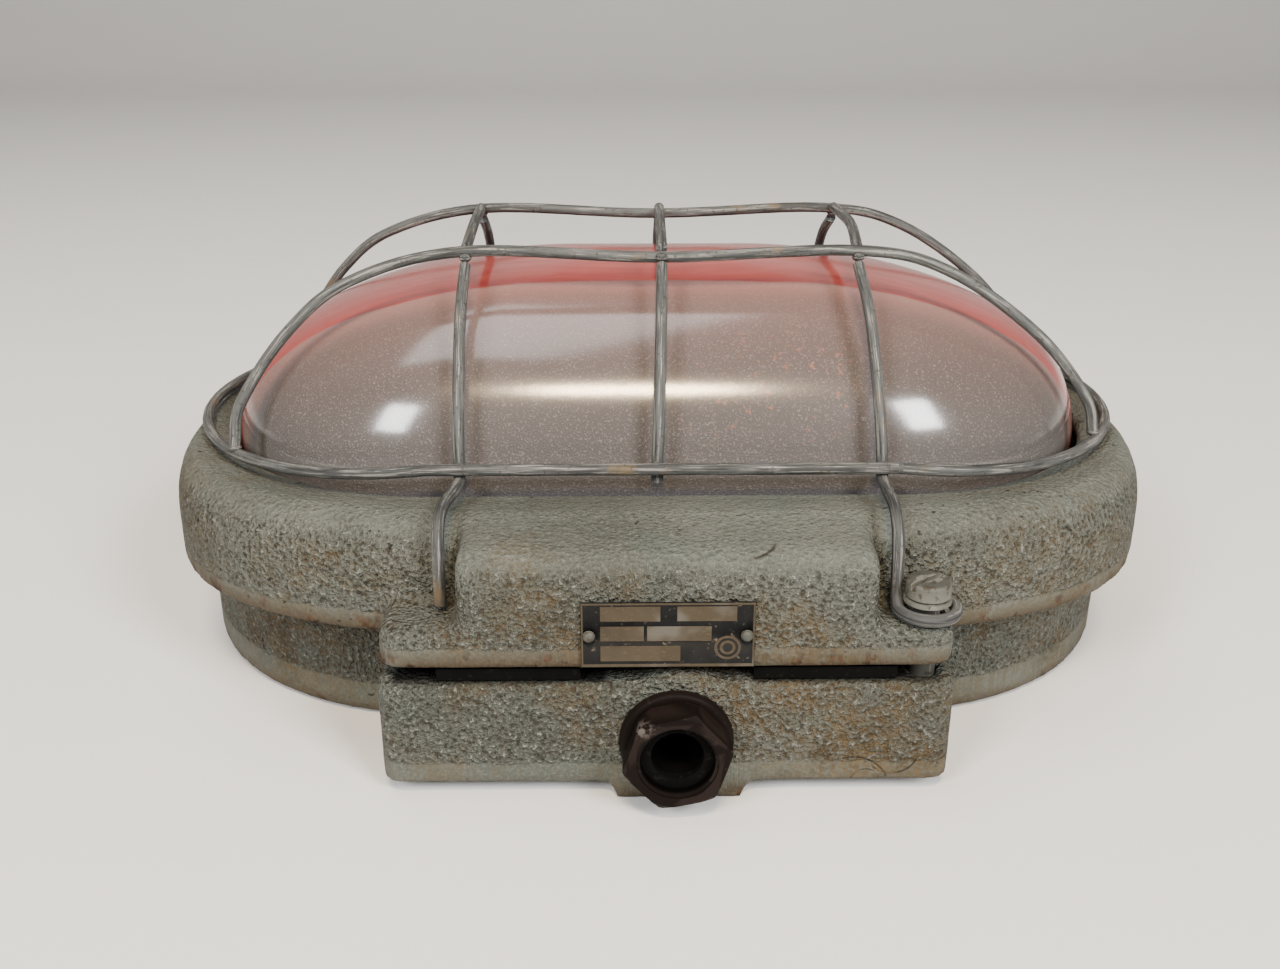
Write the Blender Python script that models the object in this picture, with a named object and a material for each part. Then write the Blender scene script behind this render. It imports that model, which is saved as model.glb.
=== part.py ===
"""Oval bulkhead light: cast two-part housing, glass dome, wire guard, lampholder and cable gland.

The light lies on its mounting face. X runs along its length, -Y is the cable entry side, +Z is the way
it shines. The origin is the middle of the mounting face. Every length is in metres.
"""

import math

import bmesh
import bpy
from mathutils import Matrix, Vector

MM = 0.001
GAP = 0.3 * MM  # left between pieces that touch

# Outlines are ovals: two half circles joined by straight sides, given by half length and half width.
ARC_STEPS = 12

# Base casting
BASE_LENGTH = 130 * MM  # half
BASE_WIDTH = 73 * MM  # half
BASE_TOP = 44.5 * MM
BASE_WALL = 5 * MM
BASE_FLOOR = 4 * MM
SHOULDER = 31 * MM
NECK_LENGTH = 124.5 * MM  # half, the raised rim inside the cover
NECK_WIDTH = 72 * MM  # half
RIM_WIDTH = 8 * MM
BLOCK_TOP = 30 * MM
BLOCK_FOOT = 3.5 * MM
BLOCK_SIDE = 66 * MM
BLOCK_FRONT = 107 * MM
BLOCK_BACK = 70 * MM
PAD_TOP = 9 * MM
FIXING_HOLES = ((85 * MM, 38 * MM), (-85 * MM, 38 * MM), (85 * MM, -38 * MM), (-85 * MM, -38 * MM))
FIXING_RADIUS = 2.75 * MM

# Cable entry
GLAND_X = 2.1 * MM
GLAND_Z = 16.4 * MM
BOSS_X = 3 * MM
BOSS_SIDE = 15 * MM
BOSS_FRONT = 107.6 * MM
BOSS_TOP = 33 * MM
GLAND_HOLE_RADIUS = 9.3 * MM
GLAND_FLANGE_RADIUS = 13 * MM
GLAND_FLANGE_FRONT = 110.6 * MM
GLAND_NUT_FLATS = 22 * MM
GLAND_NUT_FRONT = 118 * MM
GLAND_NUT_TURN = math.radians(12)
GLAND_MOUTH_RADIUS = 8.2 * MM

# Cover casting
COVER_LENGTH = 131.2 * MM  # half
COVER_WIDTH = 94 * MM  # half
COVER_FULLNESS = 3.0  # 2 would make a plain oval; more fills out the four corners
COVER_FOOT = 33.5 * MM
COVER_TOP = 61 * MM
COVER_WALL = 4.8 * MM
COVER_ROUND = 13 * MM
COVER_ROUND_END = 5 * MM
LIP_LENGTH = 120.3 * MM  # half
LIP_WIDTH = 63.3 * MM  # half
LIP_TOP = 58.5 * MM
LIP_FOOT = 54 * MM
RIB_FOOT = 47.5 * MM
LUG_SIDE = 65 * MM
LUG_TOP = 43.3 * MM
APRON_SIDE = 46.8 * MM
APRON_SHOULDER = 51.6 * MM
APRON_ROUND = 9 * MM

# Glass dome
GLASS_LENGTH = 119 * MM  # half
GLASS_WIDTH = 62 * MM  # half
GLASS_SPRING = 55 * MM
GLASS_RISE = 50.7 * MM
GLASS_WALL = 4 * MM
GLASS_FLANGE_OUT = 3 * MM
GLASS_FLANGE_FOOT = 47.8 * MM
GLASS_FLANGE_TOP = 51.7 * MM
GLASS_BOW_LENGTH = 2.4
GLASS_BOW_WIDTH = 2.1

# Wire guard
WIRE = 1.45 * MM  # radius
WELD = 2 * WIRE + 0.4 * MM  # between the middles of two crossing wires
RING_LENGTH = 127 * MM  # half
RING_WIDTH = 69.5 * MM  # half
RING_HIGH = 67.2 * MM
RING_LOW = 62.95 * MM
# Each cross wire's places along X: front top, front ring, rear top, rear ring
HOOPS = {
    "left": (-49.6 * MM, -49.3 * MM, -51.5 * MM, -51.5 * MM),
    "middle": (0.4 * MM, -1.4 * MM, 1.3 * MM, 1.3 * MM),
    "right": (50.6 * MM, 53.2 * MM, 53.3 * MM, 52.0 * MM),
}
LEG_X = 51.3 * MM
LONG_WIRE_Y = 30.7 * MM
LONG_WIRE_Z = 111.8 * MM
LEG_Y = 96.2 * MM
LEG_FOOT = 45 * MM
EYE_RADIUS = 6.6 * MM
STUB_FOOT = 62.9 * MM

# Cover screws: the rear one is the front one turned half round
SCREW_X = 58.8 * MM
SCREW_Y = 99.2 * MM
SCREW_RADIUS = 3 * MM
SCREW_HOLE_RADIUS = 3.4 * MM
SCREW_HEAD_RADIUS = 5.1 * MM
SCREW_HEAD_FOOT = 48.3 * MM
SCREW_HEAD_TOP = 52.2 * MM
SCREW_TIP = 14 * MM

# Nameplate
PLATE_SIDE = 19.2 * MM
PLATE_LOW = 35.2 * MM
PLATE_HIGH = 51.1 * MM
PLATE_THICK = 0.8 * MM
RIVET_X = 17.4 * MM

# Lampholder and bulb, both turned about one axis along X
LAMP_Z = 50 * MM
HOLDER_BACK = -105 * MM
HOLDER_MOUTH = -64 * MM
HOLDER_RADIUS = 20.5 * MM
BULB_CONTACT = -93 * MM
BULB_RADIUS = 30 * MM
BULB_MIDDLE = -17 * MM
BRACKET_THICK = 1.5 * MM
BRACKET_SIDE = 16 * MM
BRACKET_TOP = 67 * MM
BRACKET_HEEL = -86 * MM

# Terminals
BLOCK_AT = (42 * MM, -50 * MM)
TERMINAL_SPACING = 16 * MM
EARTH_AT = (75 * MM, 32 * MM)


# ---------------------------------------------------------------- tools

def clear_scene():
    for item in list(bpy.data.objects):
        bpy.data.objects.remove(item, do_unlink=True)


def material(name, color, roughness, metallic=0.0):
    """A plain Principled material, made once for each name."""
    if name in bpy.data.materials:
        return bpy.data.materials[name]
    made = bpy.data.materials.new(name)
    made.use_nodes = True
    shader = made.node_tree.nodes["Principled BSDF"]
    shader.inputs["Base Color"].default_value = (*color, 1.0)
    shader.inputs["Roughness"].default_value = roughness
    shader.inputs["Metallic"].default_value = metallic
    return made


def cast_paint():
    return material("cast_paint", (0.27, 0.29, 0.26), 0.75)


def steel():
    return material("zinc_steel", (0.40, 0.41, 0.42), 0.45, 0.9)


def brass():
    return material("brass", (0.62, 0.47, 0.22), 0.35, 1.0)


def porcelain():
    return material("porcelain", (0.80, 0.78, 0.72), 0.25)


def rubber():
    return material("rubber", (0.02, 0.02, 0.02), 0.85)


def plastic():
    return material("gland_plastic", (0.03, 0.022, 0.02), 0.4)


def mesh_object(name, mesh, look):
    """A scene object around a bmesh, with its faces turned outwards."""
    bmesh.ops.recalc_face_normals(mesh, faces=mesh.faces)
    data = bpy.data.meshes.new(name)
    mesh.to_mesh(data)
    mesh.free()
    data.materials.append(look)
    made = bpy.data.objects.new(name, data)
    bpy.context.scene.collection.objects.link(made)
    data.shade_smooth()
    data.set_sharp_from_angle(angle=math.radians(35))
    return made


def oval(half_length, half_width, z, steps=ARC_STEPS):
    """One ring of points: half circles at +X and -X joined by straight sides."""
    ring = []
    for side in (1, -1):
        for i in range(steps + 1):
            angle = math.pi * (i / steps - 0.5)
            x = side * (half_length - half_width + half_width * math.cos(angle))
            ring.append(Vector((x, side * half_width * math.sin(angle), z)))
    return ring


def full_oval(half_length, half_width, z):
    """An oval pushed outwards in its four corners."""
    ring = []
    for point in oval(half_length, half_width, 0):
        along = abs(point.x / half_length) ** COVER_FULLNESS
        across = abs(point.y / half_width) ** COVER_FULLNESS
        point *= (along + across) ** (-1 / COVER_FULLNESS)
        ring.append(Vector((point.x, point.y, z)))
    return ring


def circle(radius, z, steps=20):
    angles = [2 * math.pi * i / steps for i in range(steps)]
    return [Vector((radius * math.cos(a), radius * math.sin(a), z)) for a in angles]


def loft(rings, hollow=False):
    """Skin a stack of equal rings. A hollow stack closes on itself, a plain one gets end caps."""
    mesh = bmesh.new()
    rows = [[mesh.verts.new(point) for point in ring] for ring in rings]
    pairs = list(zip(rows[:-1], rows[1:]))
    if hollow:
        pairs.append((rows[-1], rows[0]))
    else:
        mesh.faces.new(rows[0])
        mesh.faces.new(rows[-1])
    count = len(rows[0])
    for lower, upper in pairs:
        for i in range(count):
            j = (i + 1) % count
            mesh.faces.new((lower[i], lower[j], upper[j], upper[i]))
    return mesh


def turned(profile, hollow=False, steps=20):
    """A turned piece about Z from (radius, height) steps."""
    return loft([circle(radius, z, steps) for radius, z in profile], hollow)


def prism(outline, depth):
    """An outline of (x, y) points in the XY plane, raised by depth."""
    base = [Vector((x, y, 0)) for x, y in outline]
    return loft([base, [point + Vector((0, 0, depth)) for point in base]])


def box(low, high):
    """A box between two corners."""
    outline = ((low[0], low[1]), (high[0], low[1]), (high[0], high[1]), (low[0], high[1]))
    mesh = prism(outline, high[2] - low[2])
    bmesh.ops.translate(mesh, verts=mesh.verts, vec=(0, 0, low[2]))
    return mesh


def soften(mesh, chosen, width, segments=3):
    """Round the edges that chosen(first point, second point) picks."""
    edges = [edge for edge in mesh.edges if chosen(edge.verts[0].co, edge.verts[1].co)]
    bmesh.ops.bevel(mesh, geom=edges, offset=width, segments=segments, profile=0.5, affect="EDGES",
                    clamp_overlap=True)
    return mesh


def turn_mesh(mesh, matrix):
    bmesh.ops.transform(mesh, matrix=matrix, verts=mesh.verts)
    return mesh


def along_y(x, y, z):
    """Stand a turned piece at a point with its own +Z along -Y, towards the cable side."""
    return Matrix.Translation((x, y, z)) @ Matrix.Rotation(math.pi / 2, 4, "X")


def along_x(x, y, z):
    """Stand a turned piece at a point with its own +Z along +X."""
    return Matrix.Translation((x, y, z)) @ Matrix.Rotation(math.pi / 2, 4, "Y")


def combine(target, mesh, operation="DIFFERENCE"):
    """Cut a helper shape out of a piece, or join it on."""
    helper = mesh_object(target.name + "_tool", mesh, target.data.materials[0])
    helper.hide_render = True
    helper.display_type = "WIRE"
    step = target.modifiers.new(operation.lower(), "BOOLEAN")
    step.operation = operation
    step.object = helper
    step.solver = "EXACT"
    return helper


def join(target, mesh):
    return combine(target, mesh, "UNION")


def empty(name, at):
    made = bpy.data.objects.new(name, None)
    made.location = at
    bpy.context.scene.collection.objects.link(made)
    return made


def hang(pieces, holder):
    """Parent pieces that were made in place to the empty on their joint's axis."""
    for piece in pieces:
        piece.parent = holder
        piece.location = -Vector(holder.location)


def smooth_path(points, steps=5):
    """A Catmull-Rom curve through the given points."""
    knots = [Vector(point) for point in points]
    first = knots[0] * 2 - knots[1]
    last = knots[-1] * 2 - knots[-2]
    knots = [first, *knots, last]
    path = []
    for a, b, c, d in zip(knots, knots[1:], knots[2:], knots[3:]):
        for i in range(steps):
            t = i / steps
            path.append(0.5 * (2 * b + (c - a) * t + (2 * a - 5 * b + 4 * c - d) * t ** 2
                               + (3 * b - a - 3 * c + d) * t ** 3))
    return [*path, knots[-2]]


def wire(name, points, radius, look, closed=False):
    """A round wire along a list of points."""
    curve = bpy.data.curves.new(name, "CURVE")
    curve.dimensions = "3D"
    curve.bevel_depth = radius
    curve.bevel_resolution = 2
    curve.resolution_u = 1
    curve.render_resolution_u = 0
    curve.use_fill_caps = True
    run = curve.splines.new("POLY")
    run.points.add(len(points) - 1)
    for knot, point in zip(run.points, points):
        knot.co = (*point, 1.0)
    run.use_cyclic_u = closed
    curve.materials.append(look)
    made = bpy.data.objects.new(name, curve)
    bpy.context.scene.collection.objects.link(made)
    return made


def half_turn(point):
    """The same place on the other side of the light."""
    return Vector((-point[0], -point[1], point[2]))


# ---------------------------------------------------------------- housing

def base_casting():
    inner_length = BASE_LENGTH - BASE_WALL
    inner_width = BASE_WIDTH - BASE_WALL
    rim_length = NECK_LENGTH - RIM_WIDTH
    rim_width = NECK_WIDTH - RIM_WIDTH
    foot = 2 * MM
    casting = mesh_object("base_casting", loft([
        oval(BASE_LENGTH - foot, BASE_WIDTH - foot, 0),
        oval(BASE_LENGTH - 0.6 * MM, BASE_WIDTH - 0.6 * MM, 0.7 * MM),
        oval(BASE_LENGTH, BASE_WIDTH, foot),
        oval(BASE_LENGTH, BASE_WIDTH, SHOULDER),
        oval(NECK_LENGTH, NECK_WIDTH, SHOULDER),
        oval(NECK_LENGTH, NECK_WIDTH, BASE_TOP),
        oval(rim_length, rim_width, BASE_TOP),
        oval(rim_length, rim_width, SHOULDER + BASE_WALL),
        oval(inner_length, inner_width, SHOULDER - BASE_WALL),
        oval(inner_length, inner_width, BASE_FLOOR + 2 * MM),
        oval(inner_length - 2 * MM, inner_width - 2 * MM, BASE_FLOOR),
    ]), cast_paint())
    for turn in (0, math.pi):
        join(casting, turn_mesh(lug_block(), Matrix.Rotation(turn, 4, "Z")))
    join(casting, cable_boss())
    for low, high in floor_pads():
        join(casting, box(low, high))
    for side_x in (1, -1):
        for side_y in (1, -1):
            combine(casting, block_pocket(side_x, side_y))
    combine(casting, turn_mesh(turned([(GLAND_HOLE_RADIUS, 0), (GLAND_HOLE_RADIUS, 20 * MM)]),
                               along_y(GLAND_X, -96.5 * MM, GLAND_Z)))
    combine(casting, turn_mesh(turned([(7 * MM, 0), (7 * MM, 40 * MM)]),
                               along_y(GLAND_X, -60 * MM, GLAND_Z)))
    for x, y in FIXING_HOLES:
        combine(casting, hole(x, y, -1 * MM, BASE_FLOOR + 1 * MM, FIXING_RADIUS))
    for x, y in ((SCREW_X, -SCREW_Y), (-SCREW_X, SCREW_Y)):
        combine(casting, hole(x, y, SCREW_TIP - 2 * MM, BLOCK_TOP + 1 * MM, SCREW_HOLE_RADIUS))
    for x, y in bracket_screw_places():
        combine(casting, hole(x, y, 3.5 * MM, PAD_TOP + 1 * MM, 2.3 * MM))
    combine(casting, hole(*EARTH_AT, 3.5 * MM, PAD_TOP + 1 * MM, 2.8 * MM))
    return casting


def lug_block():
    """The block that carries one pair of cover lugs, with its corners and top edge rounded."""
    mesh = box((-BLOCK_SIDE, -BLOCK_FRONT, BLOCK_FOOT), (BLOCK_SIDE, -BLOCK_BACK, BLOCK_TOP))
    front = -BLOCK_FRONT + 1 * MM
    soften(mesh, lambda a, b: a.y < front and b.y < front and abs(a.z - b.z) > 1 * MM, 5 * MM)
    top = BLOCK_TOP - 0.1 * MM
    back = -BLOCK_BACK - 0.1 * MM
    return soften(mesh, lambda a, b: min(a.z, b.z) > top and min(a.y, b.y) < back, 2.5 * MM)


def cable_boss():
    """The arched boss around the cable entry, down to the mounting face."""
    radius = BOSS_SIDE
    arch = [(BOSS_X + radius * math.cos(math.pi * i / 12),
             BOSS_TOP - radius + radius * math.sin(math.pi * i / 12)) for i in range(13)]
    outline = [*arch, (BOSS_X - radius, 0.0), (BOSS_X + radius, 0.0)]
    mesh = prism(outline, BOSS_FRONT - 80 * MM)
    return turn_mesh(mesh, along_y(0, -80 * MM, 0))


def floor_pads():
    """Raised pads on the tray floor: under the lampholder bracket and under the earth screw."""
    low = BASE_FLOOR - 1 * MM
    x, y = EARTH_AT
    yield (-110 * MM, -18 * MM, low), (BRACKET_HEEL + 2 * MM, 18 * MM, PAD_TOP)
    yield (x - 6 * MM, y - 6 * MM, low), (x + 6 * MM, y + 6 * MM, PAD_TOP)


def block_pocket(side_x, side_y):
    """The hollow in one end of a lug block, open to the tray."""
    low_x, high_x = sorted((side_x * 21 * MM, side_x * 50 * MM))
    low_y, high_y = sorted((side_y * 60 * MM, side_y * 101 * MM))
    return box((low_x, low_y, 8 * MM), (high_x, high_y, 25 * MM))


def hole(x, y, low, high, radius):
    """An upright round cutter."""
    mesh = turned([(radius, low), (radius, high)], steps=16)
    bmesh.ops.translate(mesh, verts=mesh.verts, vec=(x, y, 0))
    return mesh


def housing_gasket():
    edge = GAP
    low = BASE_TOP + GAP
    high = RIB_FOOT - GAP
    outer = (NECK_LENGTH - edge, NECK_WIDTH - edge)
    inner = (NECK_LENGTH - RIM_WIDTH + edge, NECK_WIDTH - RIM_WIDTH + edge)
    return mesh_object("housing_gasket", loft([
        oval(*outer, low), oval(*outer, high), oval(*inner, high), oval(*inner, low),
    ], hollow=True), rubber())


def lug_pads():
    """Rubber strips in the slit between the lug blocks and the cover."""
    for name, side_x, side_y in (("front_left", -1, -1), ("front_right", 1, -1),
                                 ("rear_left", -1, 1), ("rear_right", 1, 1)):
        low_x, high_x = sorted((side_x * 19.5 * MM, side_x * 52 * MM))
        low_y, high_y = sorted((side_y * 95.5 * MM, side_y * 105 * MM))
        low = (low_x, low_y, BLOCK_TOP + GAP)
        mesh_object("lug_pad_" + name, box(low, (high_x, high_y, COVER_FOOT - GAP)), rubber())


def cover_casting():
    wall_length = COVER_LENGTH - COVER_WALL
    wall_width = COVER_WIDTH - COVER_WALL
    shoulder = COVER_TOP - COVER_ROUND
    rings = [
        full_oval(COVER_LENGTH - 1 * MM, COVER_WIDTH - 1 * MM, COVER_FOOT),
        full_oval(COVER_LENGTH, COVER_WIDTH, COVER_FOOT + 1.5 * MM),
    ]
    for i in range(7):
        angle = math.pi / 2 * i / 6
        inset = 1 - math.cos(angle)
        z = shoulder + COVER_ROUND * math.sin(angle)
        rings.append(full_oval(COVER_LENGTH - COVER_ROUND_END * inset, COVER_WIDTH - COVER_ROUND * inset, z))
    rings += [
        oval(LIP_LENGTH + 0.8 * MM, LIP_WIDTH + 0.8 * MM, LIP_TOP),
        oval(LIP_LENGTH, LIP_WIDTH, LIP_TOP - 0.8 * MM),
        oval(LIP_LENGTH, LIP_WIDTH, LIP_FOOT),
        oval(NECK_LENGTH - 2.2 * MM, NECK_WIDTH - 4.6 * MM, LIP_FOOT),
        oval(NECK_LENGTH - 2.2 * MM, NECK_WIDTH - 4.6 * MM, RIB_FOOT),
        oval(NECK_LENGTH, NECK_WIDTH, RIB_FOOT),
        oval(NECK_LENGTH, NECK_WIDTH, LIP_FOOT - 1.5 * MM),
        full_oval(wall_length - 0.5 * MM, wall_width - 2 * MM, shoulder + 1 * MM),
        full_oval(wall_length, wall_width, shoulder - 5 * MM),
        full_oval(wall_length, wall_width, COVER_FOOT),
    ]
    casting = mesh_object("cover_casting", loft(rings, hollow=True), cast_paint())
    for turn in (0, math.pi):
        around = Matrix.Rotation(turn, 4, "Z")
        join(casting, turn_mesh(cover_lug(), around))
        join(casting, turn_mesh(cover_apron(), around))
    for x, y in ((SCREW_X, -SCREW_Y), (-SCREW_X, SCREW_Y)):
        combine(casting, hole(x, y, COVER_FOOT - 1 * MM, LUG_TOP + 1 * MM, SCREW_HOLE_RADIUS))
    for x in (-RIVET_X, RIVET_X):
        combine(casting, turn_mesh(turned([(1.2 * MM, 0), (1.2 * MM, 8 * MM)], steps=12),
                                   along_y(x, -102 * MM, (PLATE_LOW + PLATE_HIGH) / 2)))
    return casting


def cover_lug():
    """The low shelf that both front screw lugs are the ends of."""
    mesh = box((-LUG_SIDE, -BLOCK_FRONT, COVER_FOOT), (LUG_SIDE, -90.5 * MM, LUG_TOP))
    front = -BLOCK_FRONT + 1 * MM
    soften(mesh, lambda a, b: a.y < front and b.y < front and abs(a.z - b.z) > 1 * MM, 6 * MM)
    top = LUG_TOP - 0.1 * MM
    return soften(mesh, lambda a, b: min(a.z, b.z) > top and min(a.y, b.y) < -91 * MM, 2.6 * MM)


def cover_apron():
    """The thick middle of the cover's side, from the screw shelf up into the rim."""
    top = APRON_SHOULDER + APRON_ROUND
    crown = [(BLOCK_FRONT - APRON_ROUND * (1 - math.cos(math.pi / 2 * i / 5)),
              APRON_SHOULDER + APRON_ROUND * math.sin(math.pi / 2 * i / 5)) for i in range(6)]
    outline = [(BLOCK_FRONT, COVER_FOOT), *crown, (81 * MM, top), (81 * MM, 52.5 * MM),
               (90.5 * MM, 46 * MM), (90.5 * MM, COVER_FOOT)]
    profile = [Vector((0, -y, z)) for y, z in outline]
    sides = []
    for x, inset in ((-APRON_SIDE, 2.5), (-APRON_SIDE + 0.8 * MM, 0.7), (-APRON_SIDE + 2.6 * MM, 0.0),
                     (APRON_SIDE - 2.6 * MM, 0.0), (APRON_SIDE - 0.8 * MM, 0.7), (APRON_SIDE, 2.5)):
        sides.append([Vector((x, *pulled_in(point, inset * MM))) for point in profile])
    return loft(sides)


def pulled_in(point, inset):
    """A point of the apron's outline, moved back from the front face and the crown."""
    y = max(point.y, -BLOCK_FRONT + inset)
    z = min(point.z, APRON_SHOULDER + APRON_ROUND - inset * 0.8)
    return y, z


def glass_rings(shrink, foot, levels):
    """Oval rings of the dome's skin, from its foot to just under its crown."""
    length = GLASS_LENGTH - shrink
    width = GLASS_WIDTH - shrink
    rise = GLASS_RISE - shrink
    rings = [oval(length, width, foot)]
    for i in range(levels + 1):
        u = math.sin(math.pi / 2 * i / levels) * 0.985 if i < levels else 0.997
        a = length * (1 - u ** GLASS_BOW_LENGTH) ** (1 / GLASS_BOW_LENGTH)
        b = width * (1 - u ** GLASS_BOW_WIDTH) ** (1 / GLASS_BOW_WIDTH)
        rings.append(oval(a, b, GLASS_SPRING + rise * u))
    return rings


def glass_dome():
    """An open shell: outer skin up, inner skin down, and a flange that turns out at the foot."""
    out = GLASS_FLANGE_OUT
    flange = [
        oval(GLASS_LENGTH + out, GLASS_WIDTH + out, GLASS_FLANGE_FOOT),
        oval(GLASS_LENGTH + out, GLASS_WIDTH + out, GLASS_FLANGE_TOP),
    ]
    outer = flange + glass_rings(0.0, GLASS_FLANGE_TOP, 10)
    inner = glass_rings(GLASS_WALL, GLASS_FLANGE_FOOT, 7)
    mesh = bmesh.new()
    rows = [[mesh.verts.new(point) for point in ring] for ring in outer]
    lining = [[mesh.verts.new(point) for point in ring] for ring in inner]
    count = len(rows[0])
    for stack in (rows, lining):
        for lower, upper in zip(stack[:-1], stack[1:]):
            for i in range(count):
                j = (i + 1) % count
                mesh.faces.new((lower[i], lower[j], upper[j], upper[i]))
        mesh.faces.new(stack[-1])
    for i in range(count):
        j = (i + 1) % count
        mesh.faces.new((rows[0][i], rows[0][j], lining[0][j], lining[0][i]))
    return mesh_object("glass_dome", mesh, material("frosted_glass", (0.55, 0.48, 0.47), 0.4))


def glass_gasket():
    low = GLASS_FLANGE_TOP + GAP
    high = LIP_FOOT - GAP
    outer = (GLASS_LENGTH + GLASS_FLANGE_OUT, GLASS_WIDTH + GLASS_FLANGE_OUT)
    inner = (GLASS_LENGTH + 2 * GAP, GLASS_WIDTH + 2 * GAP)
    return mesh_object("glass_gasket", loft([
        oval(*outer, low), oval(*outer, high), oval(*inner, high), oval(*inner, low),
    ], hollow=True), rubber())


# ---------------------------------------------------------------- wire guard

def ring_height(x):
    """The guard ring lies on the rim at the ends and arches up along the sides."""
    straight = RING_LENGTH - RING_WIDTH
    share = min(1.0, max(0.0, (abs(x) - straight) / RING_WIDTH))
    return RING_HIGH - (RING_HIGH - RING_LOW) * math.sin(share * math.pi / 2)


def guard_ring():
    points = []
    for point in oval(RING_LENGTH, RING_WIDTH, 0):
        points.append(Vector((point.x, point.y, ring_height(point.x))))
    return wire("guard_ring", points, WIRE, steel(), closed=True)


def guard_long_wire(name, side):
    """A top wire from one end of the ring to the other; side is -1 in front and 1 behind."""
    y = side * LONG_WIRE_Y
    left_foot = ring_height(-109 * MM) + WIRE + 0.4 * MM
    right_foot = ring_height(114.6 * MM) + WIRE + 0.4 * MM
    points = [
        (-109 * MM, side * 47 * MM, left_foot),
        (-107 * MM, side * 44 * MM, 76 * MM),
        (-95 * MM, side * 37 * MM, 92.8 * MM),
        (-79 * MM, side * 33 * MM, 104.8 * MM),
        (-50 * MM, y, LONG_WIRE_Z),
        (0, y, LONG_WIRE_Z - 1.6 * MM),
        (50 * MM, y, LONG_WIRE_Z),
        (74 * MM, side * 31 * MM, 106.6 * MM),
        (98 * MM, side * 33.5 * MM, 90.6 * MM),
        (112 * MM, side * 36 * MM, 74 * MM),
        (114.6 * MM, side * 37.5 * MM, right_foot),
    ]
    return wire(name, smooth_path(points, 3), WIRE, steel())


def side_run(top_x, ring_x, side):
    """A cross wire coming down one side, from under the top wire to behind the ring."""
    ring_y = RING_WIDTH - WELD
    run = [Vector((top_x, side * (LONG_WIRE_Y + 1.9 * MM), LONG_WIRE_Z - WELD))]
    for share, y, z in ((0.25, 47, 100.5), (0.55, 58.5, 87), (0.8, 64.8, 75)):
        run.append(Vector((top_x + (ring_x - top_x) * share, side * y * MM, z * MM)))
    return smooth_path([*run, Vector((ring_x, side * ring_y, RING_HIGH))], 3)


def leg_run(ring_x, foot_x, side):
    """From behind the ring, under it, over the rim and down beside the apron."""
    points = []
    for i in range(1, 5):
        angle = math.pi / 2 * i / 4
        y = RING_WIDTH - WELD * math.cos(angle)
        points.append(Vector((ring_x, side * y, RING_HIGH - WELD * math.sin(angle))))
    for share, y, z in ((0.45, 78, 64.2), (0.8, 86, 65.2), (1, 91.5, 64.2), (1, 94.8, 60.5)):
        points.append(Vector((ring_x + (foot_x - ring_x) * share, side * y * MM, z * MM)))
    return points


def plain_leg(ring_x, foot_x, side):
    """A leg that ends cut off square above its lug."""
    foot = [Vector((foot_x, side * LEG_Y, LEG_FOOT + rise * MM)) for rise in (8, 0)]
    return leg_run(ring_x, foot_x, side) + foot


def eye_leg(ring_x, side):
    """A leg that ends in an open eye around its cover screw."""
    centre = Vector((-side * SCREW_X, side * SCREW_Y, LEG_FOOT))
    foot_x = -side * (SCREW_X - EYE_RADIUS)
    points = leg_run(ring_x, foot_x, side)
    points += [Vector((foot_x, side * LEG_Y, LEG_FOOT + rise * MM)) for rise in (9, 2.2)]
    for i in range(13):
        angle = math.radians(180 + 215 * i / 12)
        bend = Vector((math.cos(angle), math.sin(angle), 0)) * EYE_RADIUS
        points.append(centre + (bend if side < 0 else half_turn(bend)))
    return points


def guard_bridge(name, front_x, rear_x, kink):
    """A cross wire's top stretch, butted between the two top wires."""
    end_y = LONG_WIRE_Y - WIRE - 0.4 * MM
    points = [
        (front_x, -end_y, LONG_WIRE_Z + 0.4 * MM),
        ((front_x + rear_x) / 2 + kink, 0, LONG_WIRE_Z + 1.2 * MM),
        (rear_x, end_y, LONG_WIRE_Z + 0.4 * MM),
    ]
    return wire(name, smooth_path(points, 3), WIRE, steel())


def guard():
    pieces = [
        guard_ring(),
        guard_long_wire("guard_long_wire_front", -1),
        guard_long_wire("guard_long_wire_rear", 1),
    ]
    for place, (front_top, front_ring, rear_top, rear_ring) in HOOPS.items():
        kink = 1.5 * MM if place == "right" else 0
        pieces.append(guard_bridge("guard_bridge_" + place, front_top, rear_top, kink))
        ends = {
            ("left", -1): lambda: plain_leg(front_ring, -LEG_X, -1),
            ("right", -1): lambda: eye_leg(front_ring, -1),
            ("left", 1): lambda: eye_leg(rear_ring, 1),
            ("right", 1): lambda: plain_leg(rear_ring, LEG_X, 1),
        }
        for side, word, top_x, ring_x in ((-1, "front", front_top, front_ring), (1, "rear", rear_top, rear_ring)):
            if place == "middle":
                end = [Vector((ring_x, side * (RING_WIDTH - WELD), STUB_FOOT))]
            else:
                end = ends[place, side]()
            path = side_run(top_x, ring_x, side) + end
            pieces.append(wire("guard_upright_" + word + "_" + place, path, WIRE, steel()))
    return pieces


# ---------------------------------------------------------------- fasteners

def slotted_screw(name, at, radius, head_radius, tip, head_foot, head_top, turn=0.0, look=None):
    """An upright cheese-head screw with its slot cut across the head."""
    edge = head_radius * 0.1
    piece = mesh_object(name, turned([
        (radius, tip), (radius, head_foot), (head_radius, head_foot),
        (head_radius, head_top - edge), (head_radius - edge, head_top),
    ], steps=20), look or steel())
    depth = (head_top - head_foot) * 0.45
    half = head_radius * 0.13
    slot = box((-head_radius * 1.2, -half, head_top - depth), (head_radius * 1.2, half, head_top * 1.1))
    cutter = combine(piece, turn_mesh(slot, Matrix.Rotation(turn, 4, "Z")))
    for item in (piece, cutter):
        item.location = (*at, 0)
    return piece, cutter


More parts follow.
